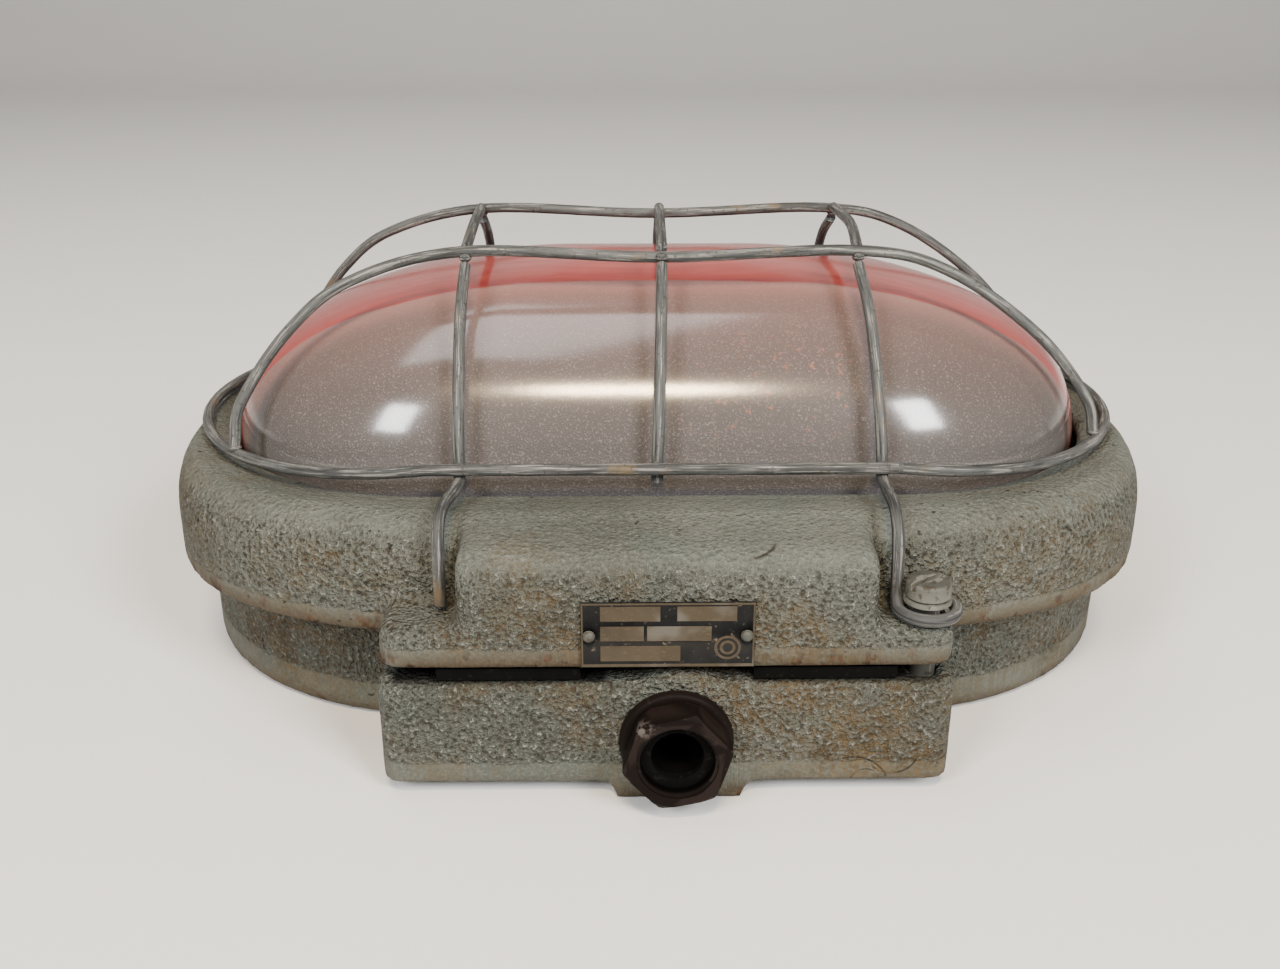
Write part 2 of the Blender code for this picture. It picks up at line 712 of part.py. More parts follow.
def cover_screw(name, at):
    """A cover screw and its washer, turning together about the screw's axis."""
    screw, cutter = slotted_screw(name, (0, 0), SCREW_RADIUS, SCREW_HEAD_RADIUS, SCREW_TIP,
                                  SCREW_HEAD_FOOT, SCREW_HEAD_TOP, math.radians(35))
    washer = mesh_object(name + "_washer", turned([
        (5.4 * MM, 46.8 * MM), (5.4 * MM, 48 * MM), (3.4 * MM, 48 * MM), (3.4 * MM, 46.8 * MM),
    ], hollow=True), steel())
    axis = empty(name + "_axis", (*at, 0))
    for item in (screw, cutter, washer):
        item.parent = axis


def nameplate():
    """A blank-field plate in front of the apron, held by two dome-headed rivets."""
    back = BLOCK_FRONT + GAP
    front = back + PLATE_THICK
    plate = mesh_object("nameplate", box((-PLATE_SIDE, -front, PLATE_LOW), (PLATE_SIDE, -back, PLATE_HIGH)),
                        material("plate_black", (0.03, 0.03, 0.03), 0.4))
    middle = (PLATE_LOW + PLATE_HIGH) / 2
    pieces = [plate]
    for name, x in (("plate_rivet_left", -RIVET_X), ("plate_rivet_right", RIVET_X)):
        combine(plate, turn_mesh(turned([(1.2 * MM, 0), (1.2 * MM, 6 * MM)], steps=12),
                                 along_y(x, -105 * MM, middle)))
        dome = [(1.4 * math.cos(a) * MM, (1.1 * math.sin(a) + 0.3) * MM)
                for a in (0.0, 0.5, 1.0, 1.35)]
        rivet = turned([(0.9 * MM, -4 * MM), (0.9 * MM, GAP), *dome], steps=12)
        pieces.append(mesh_object(name, turn_mesh(rivet, along_y(x, -front, middle)), steel()))
    return pieces


# ---------------------------------------------------------------- cable gland

def gland_body():
    """Round flange with a threaded tube into the boss and a neck for the nut."""
    outer = 9 * MM
    bore = 6 * MM
    front = BOSS_FRONT + GAP
    profile = [
        (bore, 97 * MM), (outer, 97 * MM), (outer, front), (GLAND_FLANGE_RADIUS, front),
        (GLAND_FLANGE_RADIUS, GLAND_FLANGE_FRONT - 0.8 * MM),
        (GLAND_FLANGE_RADIUS - 0.8 * MM, GLAND_FLANGE_FRONT),
        (8.6 * MM, GLAND_FLANGE_FRONT), (8.6 * MM, 113 * MM), (bore, 113 * MM),
    ]
    return mesh_object("gland_body", turn_mesh(turned(profile, hollow=True, steps=24),
                                               along_y(GLAND_X, 0, GLAND_Z)), plastic())


def gland_seal():
    profile = [(6 * MM, 113.3 * MM), (8.7 * MM, 113.3 * MM), (8.7 * MM, 114.9 * MM),
               (6 * MM, 114.9 * MM)]
    return mesh_object("gland_seal", turn_mesh(turned(profile, hollow=True),
                                               along_y(GLAND_X, 0, GLAND_Z)), rubber())


def gland_nut():
    """The hexagonal clamping nut, made about its own axis."""
    corner = GLAND_NUT_FLATS / math.sqrt(3)
    back = GLAND_FLANGE_FRONT + GAP
    hexagon = [circle(corner, z, 6) for z in (back, GLAND_NUT_FRONT)]
    nut = mesh_object("gland_nut", turn_mesh(loft(hexagon), along_y(0, 0, 0)
                                             @ Matrix.Rotation(GLAND_NUT_TURN, 4, "Z")), plastic())
    cutters = []
    for radius, low, high in ((9 * MM, back - 1 * MM, 115.2 * MM),
                              (GLAND_MOUTH_RADIUS, 109 * MM, GLAND_NUT_FRONT + 1 * MM)):
        cutter = turned([(radius, low), (radius, high)], steps=24)
        cutters.append(combine(nut, turn_mesh(cutter, along_y(0, 0, 0))))
    axis = empty("gland_nut_axis", (GLAND_X, 0, GLAND_Z))
    for item in (nut, *cutters):
        item.parent = axis
    return nut


# ---------------------------------------------------------------- lampholder and bulb

def lampholder():
    """Porcelain body, open towards the bulb, with two screw holes in its back."""
    back = HOLDER_BACK
    mouth = HOLDER_MOUTH
    profile = [
        (17 * MM, back), (17 * MM, back + 12 * MM), (HOLDER_RADIUS, back + 14 * MM),
        (HOLDER_RADIUS, mouth - 1 * MM), (HOLDER_RADIUS - 1 * MM, mouth), (15.6 * MM, mouth),
        (15.6 * MM, back + 9 * MM),
    ]
    body = mesh_object("lampholder_body", turn_mesh(turned(profile), along_x(0, 0, LAMP_Z)), porcelain())
    for y in (-9 * MM, 9 * MM):
        combine(body, turn_mesh(turned([(2 * MM, -1 * MM), (2 * MM, 7.5 * MM)], steps=12),
                                along_x(back, y, LAMP_Z)))
    shell = [(14 * MM, back + 12 * MM), (15.2 * MM, back + 12 * MM), (15.2 * MM, mouth - 3 * MM),
             (14 * MM, mouth - 3 * MM)]
    mesh_object("lampholder_shell", turn_mesh(turned(shell, hollow=True), along_x(0, 0, LAMP_Z)), brass())
    contact = [(5 * MM, back + 9.4 * MM), (5 * MM, back + 10.4 * MM), (2.5 * MM, BULB_CONTACT - 0.4 * MM)]
    mesh_object("lampholder_contact", turn_mesh(turned(contact, steps=16), along_x(0, 0, LAMP_Z)), brass())


def lampholder_bracket():
    """An angle of sheet steel: foot on its pad, upright behind the lampholder."""
    back = HOLDER_BACK - GAP - BRACKET_THICK
    low = PAD_TOP + GAP
    thick = BRACKET_THICK
    outline = [(back, low), (BRACKET_HEEL, low), (BRACKET_HEEL, low + thick), (back + thick, low + thick),
               (back + thick, BRACKET_TOP), (back, BRACKET_TOP)]
    mesh = prism(outline, 2 * BRACKET_SIDE)
    turn_mesh(mesh, Matrix.Translation((0, BRACKET_SIDE, 0)) @ Matrix.Rotation(math.pi / 2, 4, "X"))
    bracket = mesh_object("lampholder_bracket", mesh, steel())
    for x, y in bracket_screw_places():
        combine(bracket, hole(x, y, low - 1 * MM, low + 4 * MM, 2.4 * MM))
    for side, y in (("left", -9 * MM), ("right", 9 * MM)):
        combine(bracket, turn_mesh(turned([(2 * MM, -3 * MM), (2 * MM, 2 * MM)], steps=12),
                                   along_x(back + thick, y, LAMP_Z)))
        head = back - GAP
        screw = [(3 * MM, head - 2 * MM), (3.2 * MM, head), (1.6 * MM, head), (1.6 * MM, HOLDER_BACK + 7 * MM)]
        mesh_object("lampholder_screw_" + side,
                    turn_mesh(turned(screw, steps=16), along_x(0, y, LAMP_Z)), steel())
    for side, (x, y) in zip(("left", "right"), bracket_screw_places()):
        top = low + thick + GAP
        slotted_screw("bracket_screw_" + side, (x, y), 2 * MM, 3.5 * MM, 4.2 * MM, top, top + 2.6 * MM, 0.4)


def bracket_screw_places():
    return ((-93 * MM, -10 * MM), (-93 * MM, 10 * MM))


def bulb():
    """Screw cap and pear-shaped glass, made about the bulb's own axis."""
    cap_end = BULB_CONTACT + 26 * MM
    cap = [(3 * MM, BULB_CONTACT), (5 * MM, BULB_CONTACT + 1.5 * MM), (12.6 * MM, BULB_CONTACT + 4.5 * MM),
           (13.2 * MM, BULB_CONTACT + 6 * MM), (13.2 * MM, cap_end)]
    glass = [(13 * MM, cap_end + GAP), (14.5 * MM, cap_end + 9 * MM), (21 * MM, cap_end + 24 * MM)]
    for i in range(8):
        angle = math.radians(-32 + 116 * i / 7)
        glass.append((BULB_RADIUS * math.cos(angle), BULB_MIDDLE + BULB_RADIUS * math.sin(angle)))
    axis = empty("bulb_axis", (0, 0, LAMP_Z))
    pieces = [
        mesh_object("bulb_cap", turn_mesh(turned(cap), along_x(0, 0, 0)), brass()),
        mesh_object("bulb_glass", turn_mesh(turned(glass), along_x(0, 0, 0)),
                    material("bulb_glass", (0.8, 0.8, 0.78), 0.15)),
    ]
    for piece in pieces:
        piece.parent = axis


# ---------------------------------------------------------------- wiring

def terminals():
    """Porcelain terminal block with two clamp screws, and the earth screw on its pad."""
    x, y = BLOCK_AT
    low = BASE_FLOOR + GAP
    top = 16 * MM
    block = mesh_object("terminal_block", box((x - 18 * MM, y - 8 * MM, low), (x + 18 * MM, y + 8 * MM, top)),
                        porcelain())
    for side, shift in (("left", -TERMINAL_SPACING / 2), ("right", TERMINAL_SPACING / 2)):
        combine(block, hole(x + shift, y, 9 * MM, top + 1 * MM, 3.4 * MM))
        slotted_screw("terminal_screw_" + side, (x + shift, y), 2 * MM, 3 * MM, 9.3 * MM, 14 * MM,
                      17 * MM, 0.8, brass())
    slotted_screw("earth_screw", EARTH_AT, 2.5 * MM, 4.2 * MM, 4.2 * MM, PAD_TOP + GAP, PAD_TOP + 3.4 * MM,
                  0.2, brass())


def leads():
    """Two insulated leads from the terminal block, under the bulb, to the lampholder's side."""
    start_x = BLOCK_AT[0] - 18.4 * MM
    start_y = BLOCK_AT[1]
    outer = [(start_x - out, start_y - 3 * MM, 8.5 * MM) for out in (0, 7 * MM)]
    inner = [(start_x - out, start_y + 3 * MM, 8.5 * MM) for out in (0, 7 * MM)]
    for x, y, z in ((8, -50, 7.5), (-40, -47, 7), (-76, -40, 9), (-97, -31, 24), (-98, -24.5, 39)):
        outer.append((x * MM, y * MM, z * MM))
    for x, y, z in ((8, -37, 7.5), (-40, -32, 7), (-76, -27, 9), (-96, -21, 22), (-97, -16.5, 37.5)):
        inner.append((x * MM, y * MM, z * MM))
    wire("lead_outer", smooth_path(outer, 3), 1.3 * MM, material("lead_dark", (0.05, 0.05, 0.06), 0.5))
    wire("lead_inner", smooth_path(inner, 3), 1.3 * MM, material("lead_red", (0.35, 0.12, 0.07), 0.5))


# ---------------------------------------------------------------- assembly

def build():
    clear_scene()
    base_casting()
    housing_gasket()
    lug_pads()
    cover_axis = empty("cover_axis", (0, 0, 0))
    hang([cover_casting(), glass_dome(), glass_gasket(), *nameplate()], cover_axis)
    guard_axis = empty("guard_axis", (0, 0, 0))
    hang(guard(), guard_axis)
    cover_screw("cover_screw_front", (SCREW_X, -SCREW_Y))
    cover_screw("cover_screw_rear", (-SCREW_X, SCREW_Y))
    gland_body()
    gland_seal()
    gland_nut()
    lampholder()
    lampholder_bracket()
    bulb()
    terminals()
    leads()


build()
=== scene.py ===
"""Oval bulkhead light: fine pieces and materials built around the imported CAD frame.

X runs along the light, -Y is the cable entry side and +Z is the way it shines. Lengths are in metres.
"""

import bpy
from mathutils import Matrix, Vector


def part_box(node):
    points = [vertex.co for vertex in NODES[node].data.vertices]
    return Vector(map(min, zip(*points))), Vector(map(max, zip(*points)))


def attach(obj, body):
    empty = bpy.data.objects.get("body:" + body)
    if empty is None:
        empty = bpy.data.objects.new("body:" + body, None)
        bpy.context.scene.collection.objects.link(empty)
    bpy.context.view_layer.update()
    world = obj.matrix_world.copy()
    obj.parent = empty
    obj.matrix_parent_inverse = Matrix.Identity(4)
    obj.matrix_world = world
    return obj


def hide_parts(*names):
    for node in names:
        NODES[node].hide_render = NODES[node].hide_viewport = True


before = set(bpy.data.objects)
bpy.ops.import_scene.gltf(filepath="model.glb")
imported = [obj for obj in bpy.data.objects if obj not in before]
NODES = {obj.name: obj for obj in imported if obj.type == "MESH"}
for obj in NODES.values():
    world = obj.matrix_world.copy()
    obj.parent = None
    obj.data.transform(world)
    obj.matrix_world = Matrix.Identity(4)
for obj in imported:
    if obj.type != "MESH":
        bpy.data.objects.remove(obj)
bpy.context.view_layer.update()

import math

import bmesh
import bpy
import numpy as np
from mathutils import Euler, Matrix, Vector, noise

MM = 0.001

# ---------------------------------------------------------------- sizes

BASE_LOW, BASE_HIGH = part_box("base_casting")
COVER_LOW, COVER_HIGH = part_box("cover_casting")

BASE_LENGTH = BASE_HIGH[0]  # half
BASE_WIDTH = 73 * MM  # half
BASE_TOP = BASE_HIGH[2]
BASE_WALL = 5 * MM
BASE_FLOOR = 4 * MM
SHOULDER = 31 * MM
NECK_LENGTH = 124.5 * MM  # half
NECK_WIDTH = 72 * MM  # half
RIM_WIDTH = 8 * MM
BLOCK_TOP = 30 * MM
BLOCK_FOOT = 3.5 * MM
BLOCK_SIDE = 66 * MM
BLOCK_FRONT = COVER_HIGH[1]
BLOCK_BACK = 70 * MM
PAD_TOP = 9 * MM
BRACKET_PAD = ((-110 * MM, -18 * MM), (-84 * MM, 18 * MM))
EARTH_PAD = ((69 * MM, 26 * MM), (81 * MM, 38 * MM))
CORNERS = ((1, 1), (1, -1), (-1, 1), (-1, -1))
POCKET_X = (21 * MM, 50 * MM)
POCKET_Y = (60 * MM, 101 * MM)
POCKET_Z = (8 * MM, 25 * MM)
WALL_BORE_X = 85 * MM
WALL_BORE_Y = 38 * MM
WALL_BORE = 2.75 * MM  # radius, like the other bores
SCREW_BORE = 3.4 * MM
GLAND_BORE = 9.4 * MM
CABLE_WAY = 7 * MM

GLAND_X = 2.1 * MM
GLAND_Z = 16.4 * MM
BOSS_X = 3 * MM
BOSS_SIDE = 15 * MM
BOSS_FRONT = -BASE_LOW[1]
BOSS_TOP = 33 * MM

COVER_LENGTH = COVER_HIGH[0]  # half
COVER_WIDTH = 94 * MM  # half
COVER_FULLNESS = 3.0
COVER_FOOT = COVER_LOW[2]
COVER_TOP = COVER_HIGH[2]
COVER_WALL = 4.8 * MM
COVER_ROUND = 13 * MM
COVER_ROUND_END = 5 * MM
LIP_LENGTH = 120.3 * MM  # half
LIP_WIDTH = 63.3 * MM  # half
LIP_TOP = 58.5 * MM
LIP_FOOT = 54 * MM
RIB_FOOT = 47.5 * MM
LUG_SIDE = 65 * MM
LUG_BACK = 90.5 * MM
LUG_TOP = 43.3 * MM
APRON_SIDE = 46.8 * MM
APRON_SHOULDER = 51.6 * MM
APRON_ROUND = 9 * MM

GLASS_LENGTH = 119 * MM  # half
GLASS_WIDTH = 62 * MM  # half
GLASS_SPRING = 55 * MM
GLASS_RISE = 50.7 * MM
GLASS_WALL = 4 * MM
GLASS_FLANGE_OUT = 3 * MM
GLASS_FLANGE_FOOT = 47.8 * MM
GLASS_FLANGE_TOP = 51.7 * MM
GLASS_BOW_LENGTH = 2.4
GLASS_BOW_WIDTH = 2.1

WIRE = 1.45 * MM  # radius
WELD = 2 * WIRE + 0.4 * MM
RING_LENGTH = 127 * MM  # half
RING_WIDTH = 69.5 * MM  # half
RING_HIGH = 67.2 * MM
RING_LOW = 62.95 * MM
HOOPS = {
    "left": (-49.6 * MM, -49.3 * MM, -51.5 * MM, -51.5 * MM),
    "middle": (0.4 * MM, -1.4 * MM, 1.3 * MM, 1.3 * MM),
    "right": (50.6 * MM, 53.2 * MM, 53.3 * MM, 52.0 * MM),
}
LEG_X = 51.3 * MM
LONG_WIRE_Y = 30.7 * MM
LONG_WIRE_Z = 111.8 * MM
LONG_FEET = ((-109, 47, "left"), (114.6, 37.5, "right"))  # millimetres, like the bends
LONG_BENDS = (
    ((-107, 44, 76), (-95, 37, 92.8), (-79, 33, 104.8)),
    ((74, 31, 106.6), (98, 33.5, 90.6), (112, 36, 74)),
)
LEG_Y = 96.2 * MM
LEG_FOOT = 45 * MM
EYE_RADIUS = 6.6 * MM
STUB_FOOT = 62.9 * MM

SCREW_X = 58.8 * MM
SCREW_Y = 99.2 * MM

TERMINAL_X = 42 * MM
TERMINAL_REACH = 18.4 * MM
LEAD = 1.25 * MM  # radius

PLATE_LOW, PLATE_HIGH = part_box("nameplate")
RIVET_X = 17.4 * MM

LUMP = 0.17 * MM  # how far the casting skin wanders
VOXEL = 1.45 * MM  # cell of the casting skin's mesh
SKIN_PASSES = 4
ROUND_STEPS = 6  # of a rounded casting edge
PATH_STEPS = 8  # between two knots of a curve
WIRE_STEP = 1.1 * MM
WIRE_SIDES = 14
CORNER_CUTS = 2


# ---------------------------------------------------------------- mesh tools

def mesh_object(name, mesh, smooth_angle=40):
    """A scene object around a bmesh, with its faces turned outwards and soft shading."""
    bmesh.ops.recalc_face_normals(mesh, faces=mesh.faces)
    data = bpy.data.meshes.new(name)
    mesh.to_mesh(data)
    mesh.free()
    made = bpy.data.objects.new(name, data)
    bpy.context.scene.collection.objects.link(made)
    data.shade_smooth()
    if smooth_angle < 180:
        data.set_sharp_from_angle(angle=math.radians(smooth_angle))
    return made


def arc(start, end, steps):
    """The cosine and sine of evenly spaced angles from one angle in degrees to another."""
    angles = [math.radians(start + (end - start) * i / steps) for i in range(steps + 1)]
    return [(math.cos(angle), math.sin(angle)) for angle in angles]


def oval(half_length, half_width, z, steps=36):
    """One ring of points: half circles at +X and -X joined by straight sides."""
    straight = half_length - half_width
    return [Vector((side * (straight + half_width * c), side * half_width * s, z))
            for side in (1, -1) for c, s in arc(-90, 90, steps)]


def full_oval(half_length, half_width, z):
    """An oval pushed outwards in its four corners."""
    ring = []
    for point in oval(half_length, half_width, 0):
        along = abs(point.x / half_length) ** COVER_FULLNESS
        across = abs(point.y / half_width) ** COVER_FULLNESS
        point *= (along + across) ** (-1 / COVER_FULLNESS)
        ring.append(Vector((point.x, point.y, z)))
    return ring


def circle(radius, z, steps=48):
    return [Vector((radius * c, radius * s, z)) for c, s in arc(0, 360, steps)[:-1]]


def skin(mesh, rows, closed):
    """Join each row of points to the next with faces, and the last to the first if closed."""
    count = len(rows[0])
    for lower, upper in zip(rows, rows[1:] + rows[:1] if closed else rows[1:]):
        for i in range(count):
            j = (i + 1) % count
            mesh.faces.new((lower[i], lower[j], upper[j], upper[i]))


def loft(rings, hollow=False):
    """Skin a stack of equal rings. A hollow stack closes on itself, a plain one gets end caps."""
    mesh = bmesh.new()
    rows = [[mesh.verts.new(point) for point in ring] for ring in rings]
    if not hollow:
        mesh.faces.new(rows[0])
        mesh.faces.new(rows[-1])
    skin(mesh, rows, hollow)
    return mesh


def turned(profile, hollow=False, steps=48):
    """A turned piece about Z from (radius, height) steps."""
    return loft([circle(radius, z, steps) for radius, z in profile], hollow)


def rod(radius, low, high, steps=48):
    return turned([(radius, low), (radius, high)], steps=steps)


def prism(outline, depth):
    base = [Vector((x, y, 0)) for x, y in outline]
    return loft([base, [point + Vector((0, 0, depth)) for point in base]])


def box(low, high):
    outline = ((low[0], low[1]), (high[0], low[1]), (high[0], high[1]), (low[0], high[1]))
    mesh = prism(outline, high[2] - low[2])
    bmesh.ops.translate(mesh, verts=mesh.verts, vec=(0, 0, low[2]))
    return mesh


def soften(mesh, chosen, width):
    """Round the edges that chosen(first point, second point) picks."""
    edges = [edge for edge in mesh.edges if chosen(edge.verts[0].co, edge.verts[1].co)]
    bmesh.ops.bevel(mesh, geom=edges, offset=width, segments=ROUND_STEPS, profile=0.5, affect="EDGES",
                    clamp_overlap=True)
    return mesh


def turn_mesh(mesh, matrix):
    bmesh.ops.transform(mesh, matrix=matrix, verts=mesh.verts)
    return mesh


def moved(mesh, x, y, z):
    bmesh.ops.translate(mesh, verts=mesh.verts, vec=(x, y, z))
    return mesh


def along_y(x, y, z):
    """Stand a turned piece at a point with its own +Z along -Y."""
    return Matrix.Translation((x, y, z)) @ Matrix.Rotation(math.pi / 2, 4, "X")


def settle(piece):
    """Fold a piece's modifiers into its mesh."""
    graph = bpy.context.evaluated_depsgraph_get()
    data = bpy.data.meshes.new_from_object(piece.evaluated_get(graph))
    old = piece.data
    piece.modifiers.clear()
    piece.data = data
    bpy.data.meshes.remove(old)
    data.name = piece.name
    return piece


def wear_edges(piece, width, segments, angle):
    """Round every edge that is sharper than an angle in degrees."""
    step = piece.modifiers.new("edge", "BEVEL")
    step.width = width
    step.segments = segments
    step.limit_method = "ANGLE"
    step.angle_limit = math.radians(angle)
    settle(piece)


def stand(piece, matrix, smooth_angle):
    """Move a piece's mesh into its place and shade it soft up to an angle in degrees."""
    piece.data.transform(matrix)
    piece.data.shade_smooth()
    piece.data.set_sharp_from_angle(angle=math.radians(smooth_angle))


def combine(piece, mesh, operation="DIFFERENCE"):
    """Cut a helper shape out of a piece, or join it on, and throw the helper away."""
    helper = mesh_object(piece.name + "_tool", mesh)
    step = piece.modifiers.new(operation, "BOOLEAN")
    step.operation = operation
    step.object = helper
    step.solver = "EXACT"
    settle(piece)
    bpy.data.objects.remove(helper, do_unlink=True)


def cast(piece, voxel, passes, node):
    """Give a hard-edged body the soft edges and uneven skin of a sand casting, inside its CAD node's box."""
    step = piece.modifiers.new("skin", "REMESH")
    step.mode = "VOXEL"
    step.voxel_size = voxel
    settle(piece)
    step = piece.modifiers.new("soft", "SMOOTH")
    step.factor = 0.5
    step.iterations = passes
    settle(piece)
    data = piece.data
    count = len(data.vertices)
    places = np.empty(count * 3, dtype=np.float32)
    data.vertices.foreach_get("co", places)
    places = places.reshape(-1, 3)
    outward = np.empty(count * 3, dtype=np.float32)
    data.vertex_normals.foreach_get("vector", outward)
    outward = outward.reshape(-1, 3)
    lumps = np.array([0.5 * noise.noise(Vector(at) * 95) + 0.5 * noise.noise(Vector(at) * 300) - 0.35
                      for at in places.tolist()])
    places += outward * (LUMP * lumps)[:, None]
    places = np.clip(places, *np.array(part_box(node), dtype=np.float32))
    data.vertices.foreach_set("co", places.ravel())
    data.update()
    data.shade_smooth()
    return piece


def half_turn(point):
    return Vector((-point[0], -point[1], point[2]))


def smooth_path(points):
    """A Catmull-Rom curve through the given points."""
    knots = [Vector(point) for point in points]
    first = knots[0] * 2 - knots[1]
    last = knots[-1] * 2 - knots[-2]
    knots = [first, *knots, last]
    path = []
    for a, b, c, d in zip(knots, knots[1:], knots[2:], knots[3:]):
        for i in range(PATH_STEPS):
            t = i / PATH_STEPS
            path.append(0.5 * (2 * b + (c - a) * t + (2 * a - 5 * b + 4 * c - d) * t ** 2
                               + (3 * b - a - 3 * c + d) * t ** 3))
    return [*path, knots[-2]]


def even_path(points, closed):
    """The same line with its points evenly spaced."""
    line = [*points, points[0]] if closed else list(points)
    reach = [0.0]
    for a, b in zip(line, line[1:]):
        reach.append(reach[-1] + (b - a).length)
    count = max(4, round(reach[-1] / WIRE_STEP))
    path = []
    leg = 0
    for i in range(count if closed else count + 1):
        want = reach[-1] * i / count
        while leg < len(line) - 2 and reach[leg + 1] < want:
            leg += 1
        span = reach[leg + 1] - reach[leg]
        share = (want - reach[leg]) / span if span > 0 else 0
        path.append(line[leg].lerp(line[leg + 1], share))
    return path


def tube(name, points, radius, closed=False, wander=0.05 * MM):
    """A drawn wire: a tube of nearly even thickness with rounded ends and its own unrolled coordinates."""
    path = even_path([Vector(point) for point in points], closed)
    count = len(path)
    mesh = bmesh.new()
    run = mesh.verts.layers.float_vector.new("strand")
    rows = []
    across = None
    for i, point in enumerate(path):
        before = path[i - 1] if i or closed else path[0]
        after = path[(i + 1) % count] if i < count - 1 or closed else path[-1]
        along = (after - before).normalized()
        if across is None:
            across = along.orthogonal().normalized()
        across = (across - along * across.dot(along)).normalized()
        other = along.cross(across)
        sway = Vector((noise.noise(point * 60), noise.noise(point * 60 + Vector((5, 5, 5))), 0)) * wander
        size = radius * (1 + 0.03 * noise.noise(point * 240))
        rows.append([])
        for c, s in arc(0, 360, WIRE_SIDES)[:-1]:
            vertex = mesh.verts.new(point + sway + (across * c + other * s) * size)
            vertex[run] = (i * WIRE_STEP, c * radius, s * radius)
            rows[-1].append(vertex)
    skin(mesh, rows, closed)
    if not closed:
        for row in (rows[0], rows[-1]):
            cap = mesh.faces.new(row)
            bmesh.ops.inset_region(mesh, faces=[cap], thickness=radius * 0.25, depth=radius * 0.12)
    return mesh_object(name, mesh, 50)


# ---------------------------------------------------------------- materials

class Look:
    """One material: a Principled shader fed by procedural nodes."""

    def __init__(self, name, **constants):
        self.made = bpy.data.materials.new(name)
        self.made.use_nodes = True
        self.tree = self.made.node_tree
        self.shader = self.tree.nodes["Principled BSDF"]
        for socket, value in constants.items():
            self.shader.inputs[socket.replace("_", " ")].default_value = value
        self.place = self.node("TexCoord", {}, "Object")

    def link(self, source, socket):
        if isinstance(source, bpy.types.NodeSocket):
            self.tree.links.new(source, socket)
        elif isinstance(source, tuple) and len(socket.default_value) == 4:
            socket.default_value = (*source, 1.0)
        else:
            socket.default_value = source

    def node(self, kind, feeds, output=0, **settings):
        """The wanted output of a new node, with its settings made and its inputs fed."""
        made = self.tree.nodes.new("ShaderNode" + kind)
        for name, value in settings.items():
            setattr(made, name, value)
        for socket, source in feeds.items():
            self.link(source, made.inputs[socket])
        return made.outputs[output]

    def feed(self, name, source):
        self.link(source, self.shader.inputs[name])

    def finish(self, color, roughness, normal):
        """Feed the three sockets that every look feeds, and hand the look back."""
        for name, source in (("Base Color", color), ("Roughness", roughness), ("Normal", normal)):
            self.feed(name, source)
        return self

    def vector(self, scale, source=None):
        """The place on the piece, stretched by three factors."""
        return self.node("VectorMath", {0: source or self.place, 1: scale}, operation="MULTIPLY")

    def strand(self):
        """A wire's own unrolled coordinates."""
        return self.node("Attribute", {}, "Vector", attribute_name="strand")

    def axis(self, name):
        return self.node("SeparateXYZ", {0: self.place}, name)

    def noise(self, scale, detail=3.0, rough=0.55, source=None):
        feeds = {"Vector": source or self.place, "Scale": scale, "Detail": detail, "Roughness": rough}
        return self.node("TexNoise", feeds, "Fac")

    def grain(self, stretch, detail, rough, source=None):
        """Noise drawn out along the axes."""
        return self.noise(1.0, detail, rough, self.vector(stretch, source))

    def ramp(self, value, low, high):
        """0 below low and 1 above high, or the other way round when low is the larger."""
        feeds = {"Value": value, "From Min": min(low, high), "From Max": max(low, high)}
        if low > high:
            feeds.update({"To Min": 1.0, "To Max": 0.0})
        return self.node("MapRange", feeds, "Result", interpolation_type="SMOOTHSTEP")

    def sum(self, operation, first, second=0.0):
        return self.node("Math", {0: first, 1: second}, operation=operation)

    def times(self, first, *others):
        for other in others:
            first = self.sum("MULTIPLY", first, other)
        return first

    def away(self, centre, stretch):
        """How far a point is from a place on the piece, with the axes stretched."""
        gap = self.node("VectorMath", {0: self.place, 1: centre}, operation="SUBTRACT")
        return self.node("VectorMath", {0: self.vector(stretch, gap)}, "Value", operation="LENGTH")

    def near(self, centre, radius, stretch=(1, 1, 1)):
        """1 at a place on the piece, falling to 0 at a distance."""
        return self.ramp(self.away(centre, stretch), radius, 0.0)

    def loop(self, centre, radius, width, stretch=(1, 1, 1)):
        """1 on a thin ring about a place on the piece."""
        off = self.sum("ABSOLUTE", self.sum("SUBTRACT", self.away(centre, stretch), radius))
        return self.ramp(off, width, 0.3 * width)

    def mix(self, share, first, second):
        return self.node("Mix", {0: share, 6: first, 7: second}, 2, data_type="RGBA")

    def tint(self, under, color, *shares):
        """A colour laid over another by the product of its shares."""
        return self.mix(self.times(*shares), under, color)

    def over(self, under, color, share, value, low, high):
        """A colour laid over another by a share, where a value runs from low to high."""
        return self.tint(under, color, self.ramp(value, low, high), share)

    def level(self, share, first, second):
        """A number between two others."""
        return self.node("Mix", {0: share, 2: first, 3: second})

    def bump(self, height, strength, depth, under=None):
        feeds = {"Strength": strength, "Distance": depth, "Height": height}
        if under is not None:
            feeds["Normal"] = under
        return self.node("Bump", feeds, "Normal")

    def pointed(self):
        """How sharply the surface turns outwards: about 0.5 on a flat."""
        return self.node("NewGeometry", {}, "Pointiness")


